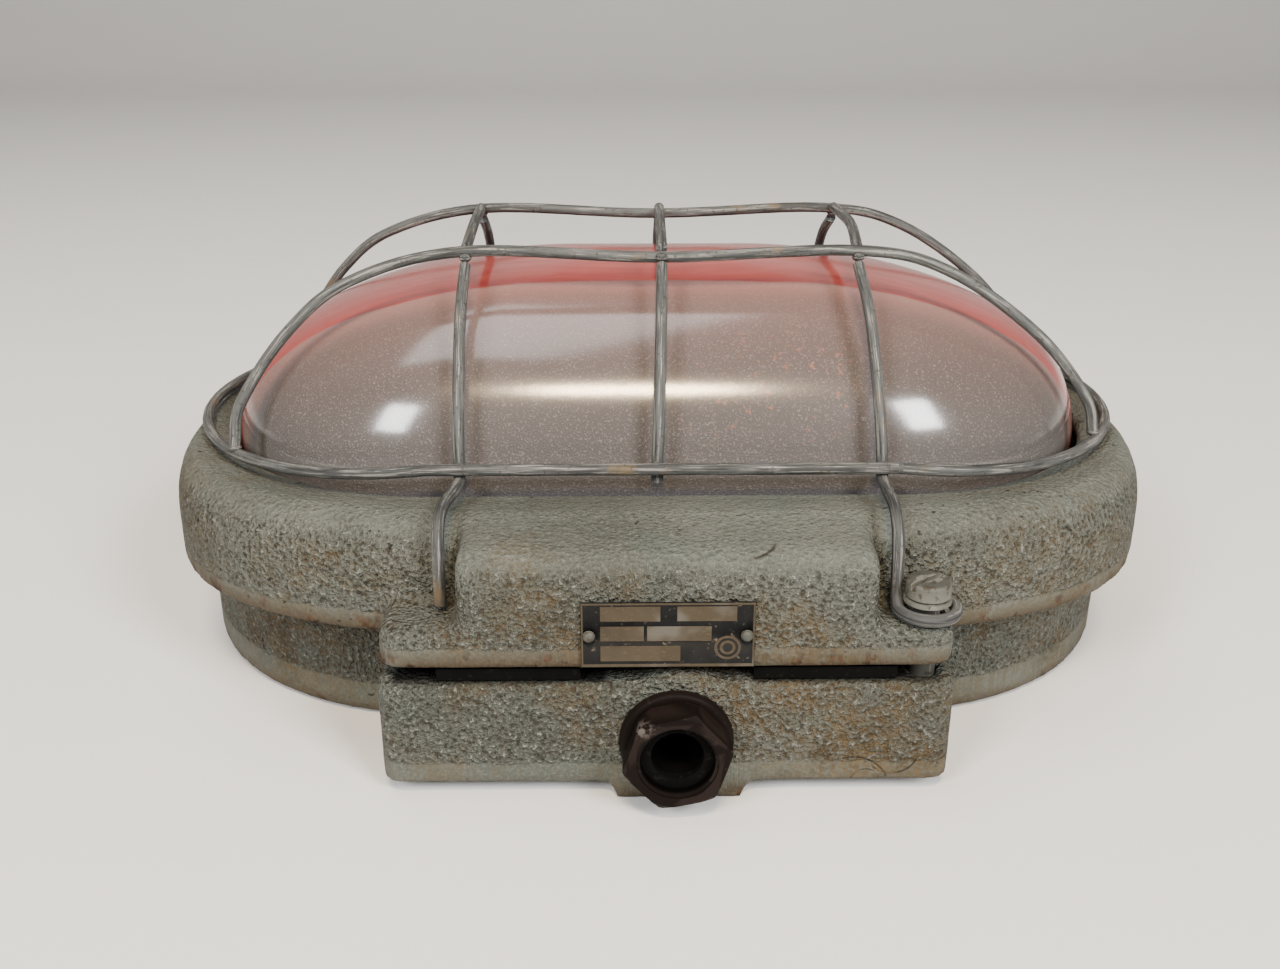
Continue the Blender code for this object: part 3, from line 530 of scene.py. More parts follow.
def cast_look(name, strips, smooth_from, stains_and_shade, rust_low, marks=(), slit=None):
    """Worn grey-green paint over a rough casting.

    strips are the bands (low, high) that were machined smooth, smooth_from is the height where the top
    turns smooth, stains_and_shade are (centre, radius, stretch, strength) patches, some real stains and some
    painted shade, and rust_low is the height of the edge that rusts. Marks are scratched arcs: (centre,
    radius, width, stretch, and the place and reach of the arc's visible part). Slit is the height of the gap
    under the lugs, where a near-black painted shadow is laid.
    """
    look = Look(name, Specular_IOR_Level=0.14)
    z = look.axis("Z")
    wobble = look.sum("MULTIPLY", look.sum("SUBTRACT", look.noise(60, 2), 0.5), 2.2 * MM)
    level = look.sum("ADD", z, wobble)
    smooth = 0.0
    for low, high in strips:
        above = look.ramp(level, low - 0.4 * MM, low)
        below = look.ramp(level, high + 0.5 * MM, high - 0.5 * MM)
        band = look.times(above, below)
        smooth = look.sum("MAXIMUM", smooth, band)
    crown = look.ramp(level, smooth_from, smooth_from + 4 * MM)

    pebble = look.noise(900, 2.2, 0.55)
    coarse = look.noise(330, 2.0, 0.5)
    brush = look.grain((1500, 1500, 55), 3, 0.6)
    rough_share = look.times(look.level(crown, 1.0, 0.34), look.level(smooth, 1.0, 0.10))

    shade = look.ramp(look.noise(14, 4, 0.6), 0.35, 0.68)
    paint = look.mix(shade, (0.062, 0.068, 0.058), (0.110, 0.118, 0.101))
    paint = look.over(paint, (0.085, 0.106, 0.098), 0.55, look.noise(33, 3), 0.5, 0.72)
    paint = look.over(paint, (0.19, 0.188, 0.158), 0.35, look.noise(1300, 2, 0.7), 0.42, 0.72)
    # Painted shade, partly dirt: the pits of the grain relief are darkened.
    hollow = look.times(look.ramp(pebble, 0.47, 0.33), rough_share)
    paint = look.tint(paint, (0.028, 0.025, 0.017), hollow, 0.80)
    # Painted highlight: the tops of the grain relief are lightened.
    raised = look.times(look.ramp(pebble, 0.58, 0.72), rough_share)
    paint = look.tint(paint, (0.30, 0.30, 0.265), raised, 0.62)
    edge = look.pointed()
    rubbed = look.times(look.ramp(edge, 0.53, 0.60), look.ramp(look.noise(190, 3), 0.42, 0.6))
    paint = look.tint(paint, (0.30, 0.305, 0.27), rubbed, 0.5)

    dirt_and_shade = look.times(look.ramp(look.noise(24, 5, 0.65), 0.44, 0.66),
                      look.ramp(z, smooth_from + 4 * MM, smooth_from - 12 * MM))
    # Concave creases are darkened too: partly dirt, partly painted shade.
    dirt_and_shade = look.sum("MAXIMUM", look.times(dirt_and_shade, 0.85), look.times(look.ramp(edge, 0.475, 0.44), 0.7))
    # The listed patches are real stains, and large patches of painted shade on the sides.
    for centre, radius, stretch, strength in stains_and_shade:
        patch = look.times(look.near(Vector(centre) * MM, radius * MM, stretch),
                           look.ramp(look.noise(85, 4, 0.65), 0.30, 0.62), strength)
        dirt_and_shade = look.sum("MAXIMUM", dirt_and_shade, patch)
    grime_and_shade = look.mix(look.ramp(look.noise(160, 3), 0.35, 0.65), (0.056, 0.038, 0.018), (0.112, 0.074, 0.034))
    paint = look.tint(paint, grime_and_shade, dirt_and_shade, look.level(look.ramp(pebble, 0.62, 0.38), 0.35, 1.0))

    low_edge = look.ramp(z, rust_low + 7 * MM, rust_low + 0.5 * MM)
    blots = look.grain((150, 150, 85), 4, 0.65)
    spots = look.times(low_edge, look.ramp(blots, 0.535, 0.60))
    film = look.times(low_edge, look.ramp(look.noise(40, 4, 0.6), 0.24, 0.50), 0.90)
    rust = look.mix(look.ramp(look.noise(420, 3), 0.4, 0.6), (0.020, 0.010, 0.006), (0.070, 0.031, 0.014))
    paint = look.mix(film, paint, (0.052, 0.035, 0.018))
    comb = look.times(look.ramp(brush, 0.52, 0.40), smooth)
    paint = look.tint(paint, (0.085, 0.070, 0.045), comb, 0.45)
    paint = look.tint(paint, rust, spots, 0.9)

    flecks = look.times(look.ramp(look.noise(420, 2, 0.5), 0.66, 0.70),
                        look.ramp(look.noise(38, 3), 0.50, 0.60))
    paint = look.tint(paint, (0.022, 0.020, 0.017), flecks, 0.9)

    for centre, radius, width, stretch, home, reach in marks:
        mark = look.times(look.loop(Vector(centre) * MM, radius * MM, width * MM, stretch),
                          look.ramp(look.near(Vector(home) * MM, reach * MM), 0.0, 0.2),
                          look.ramp(look.noise(260, 3), 0.34, 0.48))
        paint = look.tint(paint, (0.020, 0.016, 0.010), mark, 0.85)

    # Painted shadow: the block top at the slit height, in the gap under the cover's lugs, is painted
    # near-black.
    if slit is not None:
        gap = look.times(look.ramp(z, slit - 0.9 * MM, slit), look.ramp(z, slit + 2 * MM, slit + 1.2 * MM),
                         look.ramp(look.sum("ABSOLUTE", look.axis("Y")), 78 * MM, 82 * MM),
                         look.ramp(look.sum("ABSOLUTE", look.axis("X")), 63.5 * MM, 61 * MM),
                         look.ramp(look.sum("ABSOLUTE", look.sum("SUBTRACT", look.axis("X"), BOSS_X)),
                                   15.5 * MM, 18 * MM))
        paint = look.mix(gap, paint, (0.006, 0.006, 0.005))

    relief = look.sum("ADD", look.times(pebble, 0.75), look.times(coarse, 0.35))
    height = look.times(look.sum("SUBTRACT", relief, 0.55), rough_share)
    skin = look.bump(height, 1.0, 5.0 * MM)
    skin = look.bump(look.times(look.sum("SUBTRACT", brush, 0.5), smooth), 0.8, 0.35 * MM, skin)
    return look.finish(paint,
                       look.level(look.sum("MAXIMUM", dirt_and_shade, spots), look.level(crown, 0.62, 0.50), 0.88),
                       look.bump(look.sum("MAXIMUM", spots, flecks), 0.6, -0.12 * MM, skin))


def glass_look():
    """Frosted glass with a clear gloss skin, painted red over its far half and crown."""
    look = Look("frosted_dome", Roughness=0.40, Coat_Weight=1.0, Coat_Roughness=0.15, Coat_IOR=1.72,
                Specular_IOR_Level=0.1)
    x, y, z = look.axis("X"), look.axis("Y"), look.axis("Z")
    fine = look.noise(2000, 2.0, 0.6)
    soft = look.noise(17, 3, 0.5)

    frost = look.mix(soft, (0.066, 0.055, 0.049), (0.108, 0.091, 0.082))
    low = look.ramp(z, 82 * MM, 58 * MM)
    frost = look.tint(frost, (0.112, 0.108, 0.112), low, 0.55)
    # Painted highlight: pale specks stand for the glints of the frosted grain.
    frost = look.over(frost, (0.30, 0.27, 0.255), 0.42, fine, 0.54, 0.68)
    frost = look.over(frost, (0.10, 0.088, 0.088), 0.6, fine, 0.47, 0.32)

    blush = look.times(look.ramp(y, -66 * MM, -20 * MM), look.ramp(z, 66 * MM, 100 * MM))
    frost = look.tint(frost, (0.42, 0.20, 0.17), blush, 0.30)

    speck_home = look.near((27 * MM, -52 * MM, 83 * MM), 34 * MM, (0.9, 1, 1.5))
    specks = look.times(look.ramp(look.noise(560, 2, 0.5), 0.60, 0.67), look.ramp(speck_home, 0.10, 0.55),
                        look.ramp(look.noise(95, 3), 0.44, 0.58))
    frost = look.tint(frost, (0.46, 0.16, 0.085), specks, 0.50)
    dust_home = look.near((20 * MM, -48 * MM, 90 * MM), 55 * MM)
    dust = look.times(look.ramp(look.noise(900, 2), 0.60, 0.68), look.ramp(dust_home, 0.0, 0.6))
    frost = look.tint(frost, (0.20, 0.14, 0.13), dust, 0.45)

    sway = look.times(look.sum("SUBTRACT", look.noise(30, 4, 0.6), 0.5), 3.2 * MM)
    edge = look.sum("ADD", look.sum("ADD", y, sway), look.times(look.sum("ABSOLUTE", x), 0.02))
    painted = look.ramp(edge, -23.6 * MM, -22.8 * MM)
    strokes = look.grain((30, 260, 90), 5, 0.7)
    red = look.mix(look.ramp(strokes, 0.35, 0.68), (0.27, 0.030, 0.025), (0.34, 0.052, 0.043))
    lip = look.times(look.ramp(edge, -25 * MM, -22.4 * MM), look.ramp(edge, -15 * MM, -20 * MM))
    smear = look.times(lip, look.ramp(look.grain((45, 300, 60), 4, 0.7), 0.47, 0.60))
    red = look.tint(red, (0.34, 0.030, 0.026), smear, 0.9)
    drag = look.grain((22, 240, 140), 5, 0.75)
    red = look.over(red, (0.30, 0.036, 0.034), 0.65, drag, 0.56, 0.66)
    red = look.over(red, (0.46, 0.13, 0.11), 0.30, drag, 0.42, 0.34)
    ends = look.ramp(z, 78 * MM, 58 * MM)
    red = look.tint(red, (0.22, 0.022, 0.024), ends, 0.85)
    halo = look.times(look.ramp(edge, -34 * MM, -23 * MM), 0.30)
    frost = look.mix(halo, frost, (0.50, 0.17, 0.13))

    look.feed("Coat Normal", look.bump(look.noise(420, 2, 0.5), 0.10, 0.10 * MM))
    return look.finish(look.mix(painted, frost, red),
                       look.level(painted, look.level(look.ramp(fine, 0.4, 0.7), 0.36, 0.5), 0.42),
                       look.bump(look.times(fine, look.level(painted, 1.0, 0.30)), 0.8, 0.45 * MM))


def wire_look():
    """Galvanised wire under worn grey paint, with bright streaks along it."""
    look = Look("guard_wire_worn", Metallic=0.25, Specular_IOR_Level=0.25)
    run = look.strand()
    streak = look.grain((70, 1500, 1500), 4, 0.65, run)
    patch = look.grain((26, 300, 300), 3, 0.6, run)
    color = look.mix(look.ramp(patch, 0.35, 0.65), (0.044, 0.046, 0.046), (0.094, 0.097, 0.094))
    color = look.over(color, (0.25, 0.245, 0.225), 0.8, streak, 0.52, 0.62)
    color = look.over(color, (0.018, 0.018, 0.018), 0.75, streak, 0.46, 0.36)
    color = look.over(color, (0.17, 0.115, 0.055), 0.6, look.noise(55, 4, 0.6), 0.60, 0.72)
    color = look.over(color, (0.04, 0.035, 0.03), 0.7, look.noise(900, 2), 0.62, 0.68)
    return look.finish(color,
                       look.level(look.ramp(streak, 0.5, 0.7), 0.60, 0.38),
                       look.bump(look.noise(1500, 2), 0.35, 0.10 * MM, look.bump(streak, 0.55, 0.25 * MM)))


def screw_look():
    """Zinc-plated steel under thin grey paint, rubbed on its edges, with painted shade in its slot and other
    hollows.
    """
    look = Look("screw_steel", Metallic=0.2, Specular_IOR_Level=0.25)
    color = look.mix(look.noise(260, 4, 0.6), (0.044, 0.045, 0.038), (0.084, 0.084, 0.072))
    color = look.over(color, (0.20, 0.195, 0.17), 0.7, look.pointed(), 0.52, 0.58)
    color = look.over(color, (0.040, 0.030, 0.018), 0.8, look.noise(700, 3), 0.56, 0.64)
    # Painted shade: hollows such as the slot are painted near-black.
    color = look.mix(look.ramp(look.pointed(), 0.48, 0.45), color, (0.012, 0.010, 0.008))
    brush = look.bump(look.grain((300, 2600, 2600), 3, 0.6), 0.35, 0.10 * MM)
    return look.finish(color,
                       look.level(look.noise(420, 3), 0.42, 0.68),
                       look.bump(look.noise(1300, 3), 0.5, 0.14 * MM, brush))


def gland_look():
    """Satin brown-black moulded plastic with rubbed edges, pale dust specks, and painted shade down its
    bore.
    """
    look = Look("gland_moulding", Specular_IOR_Level=0.04)
    color = look.mix(look.noise(70, 4, 0.6), (0.0040, 0.0030, 0.0027), (0.0080, 0.0054, 0.0046))
    color = look.over(color, (0.022, 0.015, 0.013), 0.5, look.pointed(), 0.52, 0.60)
    color = look.over(color, (0.024, 0.017, 0.014), 0.6, look.noise(330, 4, 0.65), 0.60, 0.70)
    scuff = look.times(look.near((-6.5 * MM, -118 * MM, 25.0 * MM), 4.5 * MM, (0.8, 1, 1.5)),
                       look.ramp(look.noise(800, 3), 0.45, 0.55))
    color = look.mix(scuff, color, (0.085, 0.072, 0.066))
    # Painted shade: the bore and its mouth are painted near-black.
    depth = look.near((GLAND_X, 0, GLAND_Z), 8.6 * MM, (1, 0, 1))
    color = look.mix(look.ramp(depth, 0.0, 0.004), color, (0.0020, 0.0017, 0.0016))
    return look.finish(color,
                       look.level(look.noise(210, 4, 0.6), 0.32, 0.58),
                       look.bump(look.noise(900, 3), 0.35, 0.08 * MM))


def plate_brass_look():
    """Brass rubbed dull and silvered where the lacquer has worn off."""
    look = Look("plate_brass", Metallic=0.45)
    color = look.mix(look.noise(120, 4, 0.6), (0.024, 0.018, 0.010), (0.074, 0.056, 0.032))
    color = look.over(color, (0.105, 0.098, 0.082), 0.8, look.noise(70, 3), 0.55, 0.68)
    scratch = look.grain((900, 300, 2600), 3, 0.6)
    color = look.over(color, (0.12, 0.08, 0.04), 0.5, scratch, 0.60, 0.68)
    return look.finish(color,
                       look.level(look.noise(300, 3), 0.32, 0.58),
                       look.bump(look.noise(1100, 3), 0.4, 0.08 * MM))


def plain_look(name, mottle, shades, specks, gloss, relief, **constants):
    """Two mottled shades under scattered specks, with uneven gloss and a fine relief.

    mottle is the noise between the two shades, specks is (colour, share, noise, low, high), gloss is (noise,
    lowest roughness, highest roughness) and relief is (noise, strength, depth).
    """
    look = Look(name, **constants)
    color = look.mix(look.noise(*mottle), *shades)
    tint, share, grain, low, high = specks
    return look.finish(look.over(color, tint, share, look.noise(*grain), low, high),
                       look.level(look.noise(*gloss[0]), *gloss[1:]),
                       look.bump(look.noise(*relief[0]), *relief[1:]))


def inner_brass_look():
    look = Look("inner_brass", Metallic=0.95)
    color = look.mix(look.noise(150, 4, 0.6), (0.42, 0.29, 0.11), (0.62, 0.46, 0.21))
    color = look.over(color, (0.16, 0.10, 0.05), 0.6, look.noise(420, 4), 0.58, 0.68)
    return look.finish(color,
                       look.level(look.noise(260, 3), 0.28, 0.55),
                       look.bump(look.grain((1800, 1800, 200), 3, 0.6), 0.2, 0.06 * MM))


def lead_look(name, dark, light):
    look = Look(name, Specular_IOR_Level=0.4)
    run = look.strand()
    weave = look.grain((900, 2200, 2200), 3, 0.6, run)
    color = look.mix(weave, dark, light)
    color = look.over(color, (0.14, 0.12, 0.09), 0.5, look.noise(200, 4), 0.55, 0.68)
    return look.finish(color,
                       look.level(weave, 0.45, 0.7),
                       look.bump(weave, 0.4, 0.15 * MM))


# Places and lengths of stains, patches of painted shade and marks are in millimetres.
COVER_STAINS_AND_SHADE = (
    # Painted shade: this patch, the next one and the one at (112, -62, 42) darken the left and right walls;
    # the rest are real stains.
    ((-122, -50, 45), 52, (1, 1, 1.4), 0.62),
    ((-92, -86, 42), 30, (1, 1, 1.2), 0.55),
    ((112, -62, 42), 40, (1, 1, 1.3), 0.40),
    ((-33, -104, 55), 13, (1, 0.5, 0.8), 0.55),
    ((-10, -106, 51), 12, (1.3, 0.5, 0.8), 0.65),
    ((-26, -108, 46), 20, (0.7, 0.5, 1.1), 0.80),
    ((-22, -108, 39), 15, (0.8, 0.5, 1.2), 0.95),
    ((26, -108, 40), 17, (0.7, 0.5, 1.2), 0.70),
    ((-82, -86, 50), 12, (0.7, 0.7, 1.0), 0.75),
    ((96, -76, 46), 30, (0.7, 0.7, 1.3), 0.80),
    ((118, -50, 50), 18, (0.8, 0.8, 1.0), 0.60),
    ((-62, -92, 45), 12, (0.8, 0.8, 1.0), 0.60),
)
BASE_STAINS_AND_SHADE = (
    # Painted shade: this patch darkens the left side of the base; the rest are real stains.
    ((-105, -60, 16), 60, (1, 1, 1), 0.90),
    ((100, -60, 12), 40, (1, 1, 1.5), 0.45),
    ((-37.6, -108, 17), 10, (8.0, 0.3, 0.9), 0.95),
    ((-17, -108, 19), 10, (0.9, 0.3, 1.0), 0.85),
    ((-68, -74, 18), 12, (1.0, 0.5, 0.8), 0.80),
    ((52, -108, 8), 12, (0.6, 0.4, 1.4), 0.75),
    ((22, -108, 22), 9, (0.9, 0.3, 1.0), 0.55),
)
COVER_MARKS = (
    ((22.5, -97, 50), 11.5, 0.35, (0.7, 0.6, 1), (22.5, -98, 60.5), 7),
    ((13, -97, 72), 14, 0.30, (0.7, 0.6, 1), (20, -99, 60), 5),
)
BASE_MARKS = (
    ((43, -107, 2), 8.5, 0.35, (1, 0.2, 1), (46, -107, 8), 8),
    ((52, -107, 12), 6.0, 0.40, (1, 0.2, 1), (53, -107, 7), 7),
    ((46, -107, 4), 3.2, 0.30, (1, 0.2, 1), (46, -107, 6), 5),
)
COVER_LOOK = cast_look("cover_paint", ((33.0 * MM, 39.0 * MM),), 55 * MM, COVER_STAINS_AND_SHADE, COVER_FOOT, COVER_MARKS)
BASE_LOOK = cast_look("base_paint", ((-2.0 * MM, 9.5 * MM),), 60 * MM, BASE_STAINS_AND_SHADE, -1 * MM, BASE_MARKS,
                      BLOCK_TOP)
GLASS_LOOK = glass_look()
WIRE_LOOK = wire_look()
SCREW_LOOK = screw_look()
GLAND_LOOK = gland_look()
PLATE_LOOK = plain_look(
    "plate_enamel", (300, 4, 0.6), ((0.005, 0.005, 0.005), (0.016, 0.016, 0.016)),
    ((0.16, 0.13, 0.10), 0.5, (520, 4, 0.7), 0.60, 0.68), ((250, 3), 0.38, 0.60),
    ((420, 3), 0.3, 0.08 * MM), Specular_IOR_Level=0.05)
PLATE_BRASS_LOOK = plate_brass_look()
RUBBER_LOOK = plain_look(
    "old_rubber", (90, 4), ((0.0018, 0.0018, 0.0018), (0.0045, 0.0045, 0.0041)),
    ((0.012, 0.011, 0.009), 0.5, (600, 3), 0.58, 0.68), ((200, 3), 0.75, 0.95),
    ((1400, 3), 0.4, 0.12 * MM), Specular_IOR_Level=0.03)
BRASS_LOOK = inner_brass_look()
STEEL_LOOK = plain_look(
    "inner_steel", (150, 4, 0.6), ((0.30, 0.30, 0.29), (0.46, 0.46, 0.44)),
    ((0.17, 0.10, 0.05), 0.6, (300, 4), 0.60, 0.70), ((240, 3), 0.35, 0.6),
    ((900, 3), 0.25, 0.08 * MM), Metallic=0.9)
PORCELAIN_LOOK = plain_look(
    "glazed_porcelain", (60, 4), ((0.66, 0.63, 0.55), (0.78, 0.76, 0.69)),
    ((0.20, 0.16, 0.11), 0.6, (420, 4, 0.7), 0.62, 0.70), ((200, 3), 0.25, 0.42),
    ((260, 3), 0.15, 0.12 * MM), Coat_Weight=0.6, Coat_Roughness=0.08)
BULB_LOOK = plain_look(
    "opal_bulb", (40, 3), ((0.76, 0.75, 0.71), (0.83, 0.82, 0.79)),
    ((0.55, 0.52, 0.46), 0.25, (1500, 2), 0.62, 0.72), ((500, 2), 0.28, 0.40),
    ((800, 2), 0.08, 0.06 * MM), Coat_Weight=0.5, Coat_Roughness=0.05)
LEAD_DARK_LOOK = lead_look("lead_dark_sleeve", (0.016, 0.015, 0.017), (0.045, 0.042, 0.040))
LEAD_RED_LOOK = lead_look("lead_red_sleeve", (0.20, 0.035, 0.022), (0.38, 0.095, 0.060))


def finish_piece(piece, look, body, slot, *nodes):
    """Give a piece its material and body, and the CAD nodes it stands for."""
    piece.data.materials.clear()
    piece.data.materials.append(look.made)
    if nodes:
        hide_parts(*nodes)
    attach(piece, body)
    return piece


# ---------------------------------------------------------------- housing

def base_body():
    inner_length = BASE_LENGTH - BASE_WALL
    inner_width = BASE_WIDTH - BASE_WALL
    rim_length = NECK_LENGTH - RIM_WIDTH
    rim_width = NECK_WIDTH - RIM_WIDTH
    foot = 2 * MM
    piece = mesh_object("base_body", loft([
        oval(BASE_LENGTH - foot, BASE_WIDTH - foot, 0),
        oval(BASE_LENGTH - 0.6 * MM, BASE_WIDTH - 0.6 * MM, 0.7 * MM),
        oval(BASE_LENGTH, BASE_WIDTH, foot),
        oval(BASE_LENGTH, BASE_WIDTH, SHOULDER),
        oval(NECK_LENGTH, NECK_WIDTH, SHOULDER),
        oval(NECK_LENGTH, NECK_WIDTH, BASE_TOP),
        oval(rim_length, rim_width, BASE_TOP),
        oval(rim_length, rim_width, SHOULDER + BASE_WALL),
        oval(inner_length, inner_width, SHOULDER - BASE_WALL),
        oval(inner_length, inner_width, BASE_FLOOR + 2 * MM),
        oval(inner_length - 2 * MM, inner_width - 2 * MM, BASE_FLOOR),
    ]))
    for turn in (0, math.pi):
        block = lug(BLOCK_SIDE, BLOCK_BACK, BLOCK_FOOT, BLOCK_TOP, 5 * MM, 2.5 * MM)
        combine(piece, turn_mesh(block, Matrix.Rotation(turn, 4, "Z")), "UNION")
    combine(piece, cable_boss(), "UNION")
    for low, high in (BRACKET_PAD, EARTH_PAD):
        combine(piece, box((*low, BASE_FLOOR - 1 * MM), (*high, PAD_TOP)), "UNION")
    for side_x, side_y in CORNERS:
        low_x, high_x = sorted(side_x * x for x in POCKET_X)
        low_y, high_y = sorted(side_y * y for y in POCKET_Y)
        combine(piece, box((low_x, low_y, POCKET_Z[0]), (high_x, high_y, POCKET_Z[1])))
    for radius, depth, start in ((GLAND_BORE, 20 * MM, -96.5 * MM), (CABLE_WAY, 40 * MM, -60 * MM)):
        combine(piece, turn_mesh(rod(radius, 0, depth), along_y(GLAND_X, start, GLAND_Z)))
    for side_x, side_y in CORNERS:
        bore = rod(WALL_BORE, -1 * MM, BASE_FLOOR + 1 * MM, 24)
        combine(piece, moved(bore, side_x * WALL_BORE_X, side_y * WALL_BORE_Y, 0))
    for side in (1, -1):
        bore = rod(SCREW_BORE, 12 * MM, BLOCK_TOP + 1 * MM, 24)
        combine(piece, moved(bore, side * SCREW_X, -side * SCREW_Y, 0))
    cast(piece, VOXEL, SKIN_PASSES, "base_casting")
    return finish_piece(piece, BASE_LOOK, "housing", "cast_paint", "base_casting")


def lug(side, back, foot, top, corner, edge):
    """A block on the front side, with its upright front corners and its top edges rounded."""
    mesh = box((-side, -BLOCK_FRONT, foot), (side, -back, top))
    front = 1 * MM - BLOCK_FRONT
    soften(mesh, lambda a, b: a.y < front and b.y < front and abs(a.z - b.z) > 1 * MM, corner)
    high, behind = top - 0.1 * MM, -back - 0.1 * MM
    return soften(mesh, lambda a, b: min(a.z, b.z) > high and min(a.y, b.y) < behind, edge)


def cable_boss():
    arch = [(BOSS_X + BOSS_SIDE * c, BOSS_TOP - BOSS_SIDE * (1 - s)) for c, s in arc(0, 180, 32)]
    outline = [*arch, (BOSS_X - BOSS_SIDE, 0.0), (BOSS_X + BOSS_SIDE, 0.0)]
    return turn_mesh(prism(outline, BOSS_FRONT - 80 * MM), along_y(0, -80 * MM, 0))


def cover_body():
    wall_length = COVER_LENGTH - COVER_WALL
    wall_width = COVER_WIDTH - COVER_WALL
    shoulder = COVER_TOP - COVER_ROUND
    rings = [
        full_oval(COVER_LENGTH - 1 * MM, COVER_WIDTH - 1 * MM, COVER_FOOT),
        full_oval(COVER_LENGTH, COVER_WIDTH, COVER_FOOT + 1.5 * MM),
    ]
    for c, s in arc(0, 90, 16):
        rings.append(full_oval(COVER_LENGTH - COVER_ROUND_END * (1 - c),
                               COVER_WIDTH - COVER_ROUND * (1 - c), shoulder + COVER_ROUND * s))
    rings += [
        oval(LIP_LENGTH + 0.8 * MM, LIP_WIDTH + 0.8 * MM, LIP_TOP),
        oval(LIP_LENGTH, LIP_WIDTH, LIP_TOP - 0.8 * MM),
        oval(LIP_LENGTH, LIP_WIDTH, LIP_FOOT),
        oval(NECK_LENGTH - 2.2 * MM, NECK_WIDTH - 4.6 * MM, LIP_FOOT),
        oval(NECK_LENGTH - 2.2 * MM, NECK_WIDTH - 4.6 * MM, RIB_FOOT),
        oval(NECK_LENGTH, NECK_WIDTH, RIB_FOOT),
        oval(NECK_LENGTH, NECK_WIDTH, LIP_FOOT - 1.5 * MM),
        full_oval(wall_length - 0.5 * MM, wall_width - 2 * MM, shoulder + 1 * MM),
        full_oval(wall_length, wall_width, shoulder - 5 * MM),
        full_oval(wall_length, wall_width, COVER_FOOT),
    ]
    piece = mesh_object("cover_body", loft(rings, hollow=True))
    for turn in (0, math.pi):
        around = Matrix.Rotation(turn, 4, "Z")
        block = lug(LUG_SIDE, LUG_BACK, COVER_FOOT, LUG_TOP, 6 * MM, 2.6 * MM)
        combine(piece, turn_mesh(block, around), "UNION")
        combine(piece, turn_mesh(cover_apron(), around), "UNION")
    for side in (1, -1):
        bore = rod(SCREW_BORE, COVER_FOOT - 1 * MM, LUG_TOP + 1 * MM, 24)
        combine(piece, moved(bore, side * SCREW_X, -side * SCREW_Y, 0))
    for x in (-RIVET_X, RIVET_X):
        bore = rod(1.25 * MM, 0, 8 * MM, 16)
        combine(piece, turn_mesh(bore, along_y(x, -102 * MM, (PLATE_LOW[2] + PLATE_HIGH[2]) / 2)))
    cast(piece, VOXEL, SKIN_PASSES, "cover_casting")
    return finish_piece(piece, COVER_LOOK, "cover", "cast_paint", "cover_casting")


def cover_apron():
    top = APRON_SHOULDER + APRON_ROUND
    crown = [(BLOCK_FRONT - APRON_ROUND * (1 - c), APRON_SHOULDER + APRON_ROUND * s)
             for c, s in arc(0, 90, 12)]
    outline = [(BLOCK_FRONT, COVER_FOOT), *crown, (81 * MM, top), (81 * MM, 52.5 * MM),
               (LUG_BACK, 46 * MM), (LUG_BACK, COVER_FOOT)]
    profile = [Vector((0, -y, z)) for y, z in outline]
    sides = []
    for x, inset in ((-APRON_SIDE, 2.5), (-APRON_SIDE + 0.8 * MM, 0.7), (-APRON_SIDE + 2.6 * MM, 0.0),
                     (APRON_SIDE - 2.6 * MM, 0.0), (APRON_SIDE - 0.8 * MM, 0.7), (APRON_SIDE, 2.5)):
        sides.append([Vector((x, *pulled_in(point, inset * MM))) for point in profile])
    return loft(sides)


def pulled_in(point, inset):
    y = max(point.y, -BLOCK_FRONT + inset)
    z = min(point.z, APRON_SHOULDER + APRON_ROUND - inset * 0.8)
    return y, z


base_body()
cover_body()


# ---------------------------------------------------------------- glass dome

def glass_rings(shrink, foot, levels):
    length = GLASS_LENGTH - shrink
    width = GLASS_WIDTH - shrink
    rise = GLASS_RISE - shrink
    rings = [oval(length, width, foot), oval(length, width, (foot + GLASS_SPRING) / 2)]
    for i in range(levels + 1):
        u = math.sin(math.pi / 2 * 0.99 * i / levels)
        a = length * (1 - u ** GLASS_BOW_LENGTH) ** (1 / GLASS_BOW_LENGTH)
        b = width * (1 - u ** GLASS_BOW_WIDTH) ** (1 / GLASS_BOW_WIDTH)
        rings.append(oval(a, b, GLASS_SPRING + rise * u))
    return rings


def dome():
    """One closed skin: down the outside from the crown, round the flange and up the inside."""
    length, width = GLASS_LENGTH + GLASS_FLANGE_OUT, GLASS_WIDTH + GLASS_FLANGE_OUT
    outer = [oval(length, width, z) for z in (GLASS_FLANGE_FOOT, GLASS_FLANGE_TOP)]
    outer += glass_rings(0.0, GLASS_FLANGE_TOP, 60)
    mesh = loft(outer[::-1] + glass_rings(GLASS_WALL, GLASS_FLANGE_FOOT, 24))
    for vertex in mesh.verts:
        if vertex.co.z > GLASS_SPRING + 2 * MM:
            rise = min(1.0, (vertex.co.z - GLASS_SPRING) / (12 * MM))
            dent = 0.16 * MM * (noise.noise(vertex.co * 26) + 0.6)
            vertex.co -= Vector(vertex.co).normalized() * rise * dent
    piece = mesh_object("dome_glass", mesh, 45)
    return finish_piece(piece, GLASS_LOOK, "cover", "frosted_glass", "glass_dome")


dome()


# ---------------------------------------------------------------- wire guard

def ring_height(x):
    straight = RING_LENGTH - RING_WIDTH
    share = min(1.0, max(0.0, (abs(x) - straight) / RING_WIDTH))
    return RING_HIGH - (RING_HIGH - RING_LOW) * math.sin(share * math.pi / 2)


def ring_wire():
    points = [Vector((p.x, p.y, ring_height(p.x))) for p in oval(RING_LENGTH, RING_WIDTH, 0, 48)]
    return tube("guard_ring_wire", points, WIRE, closed=True)


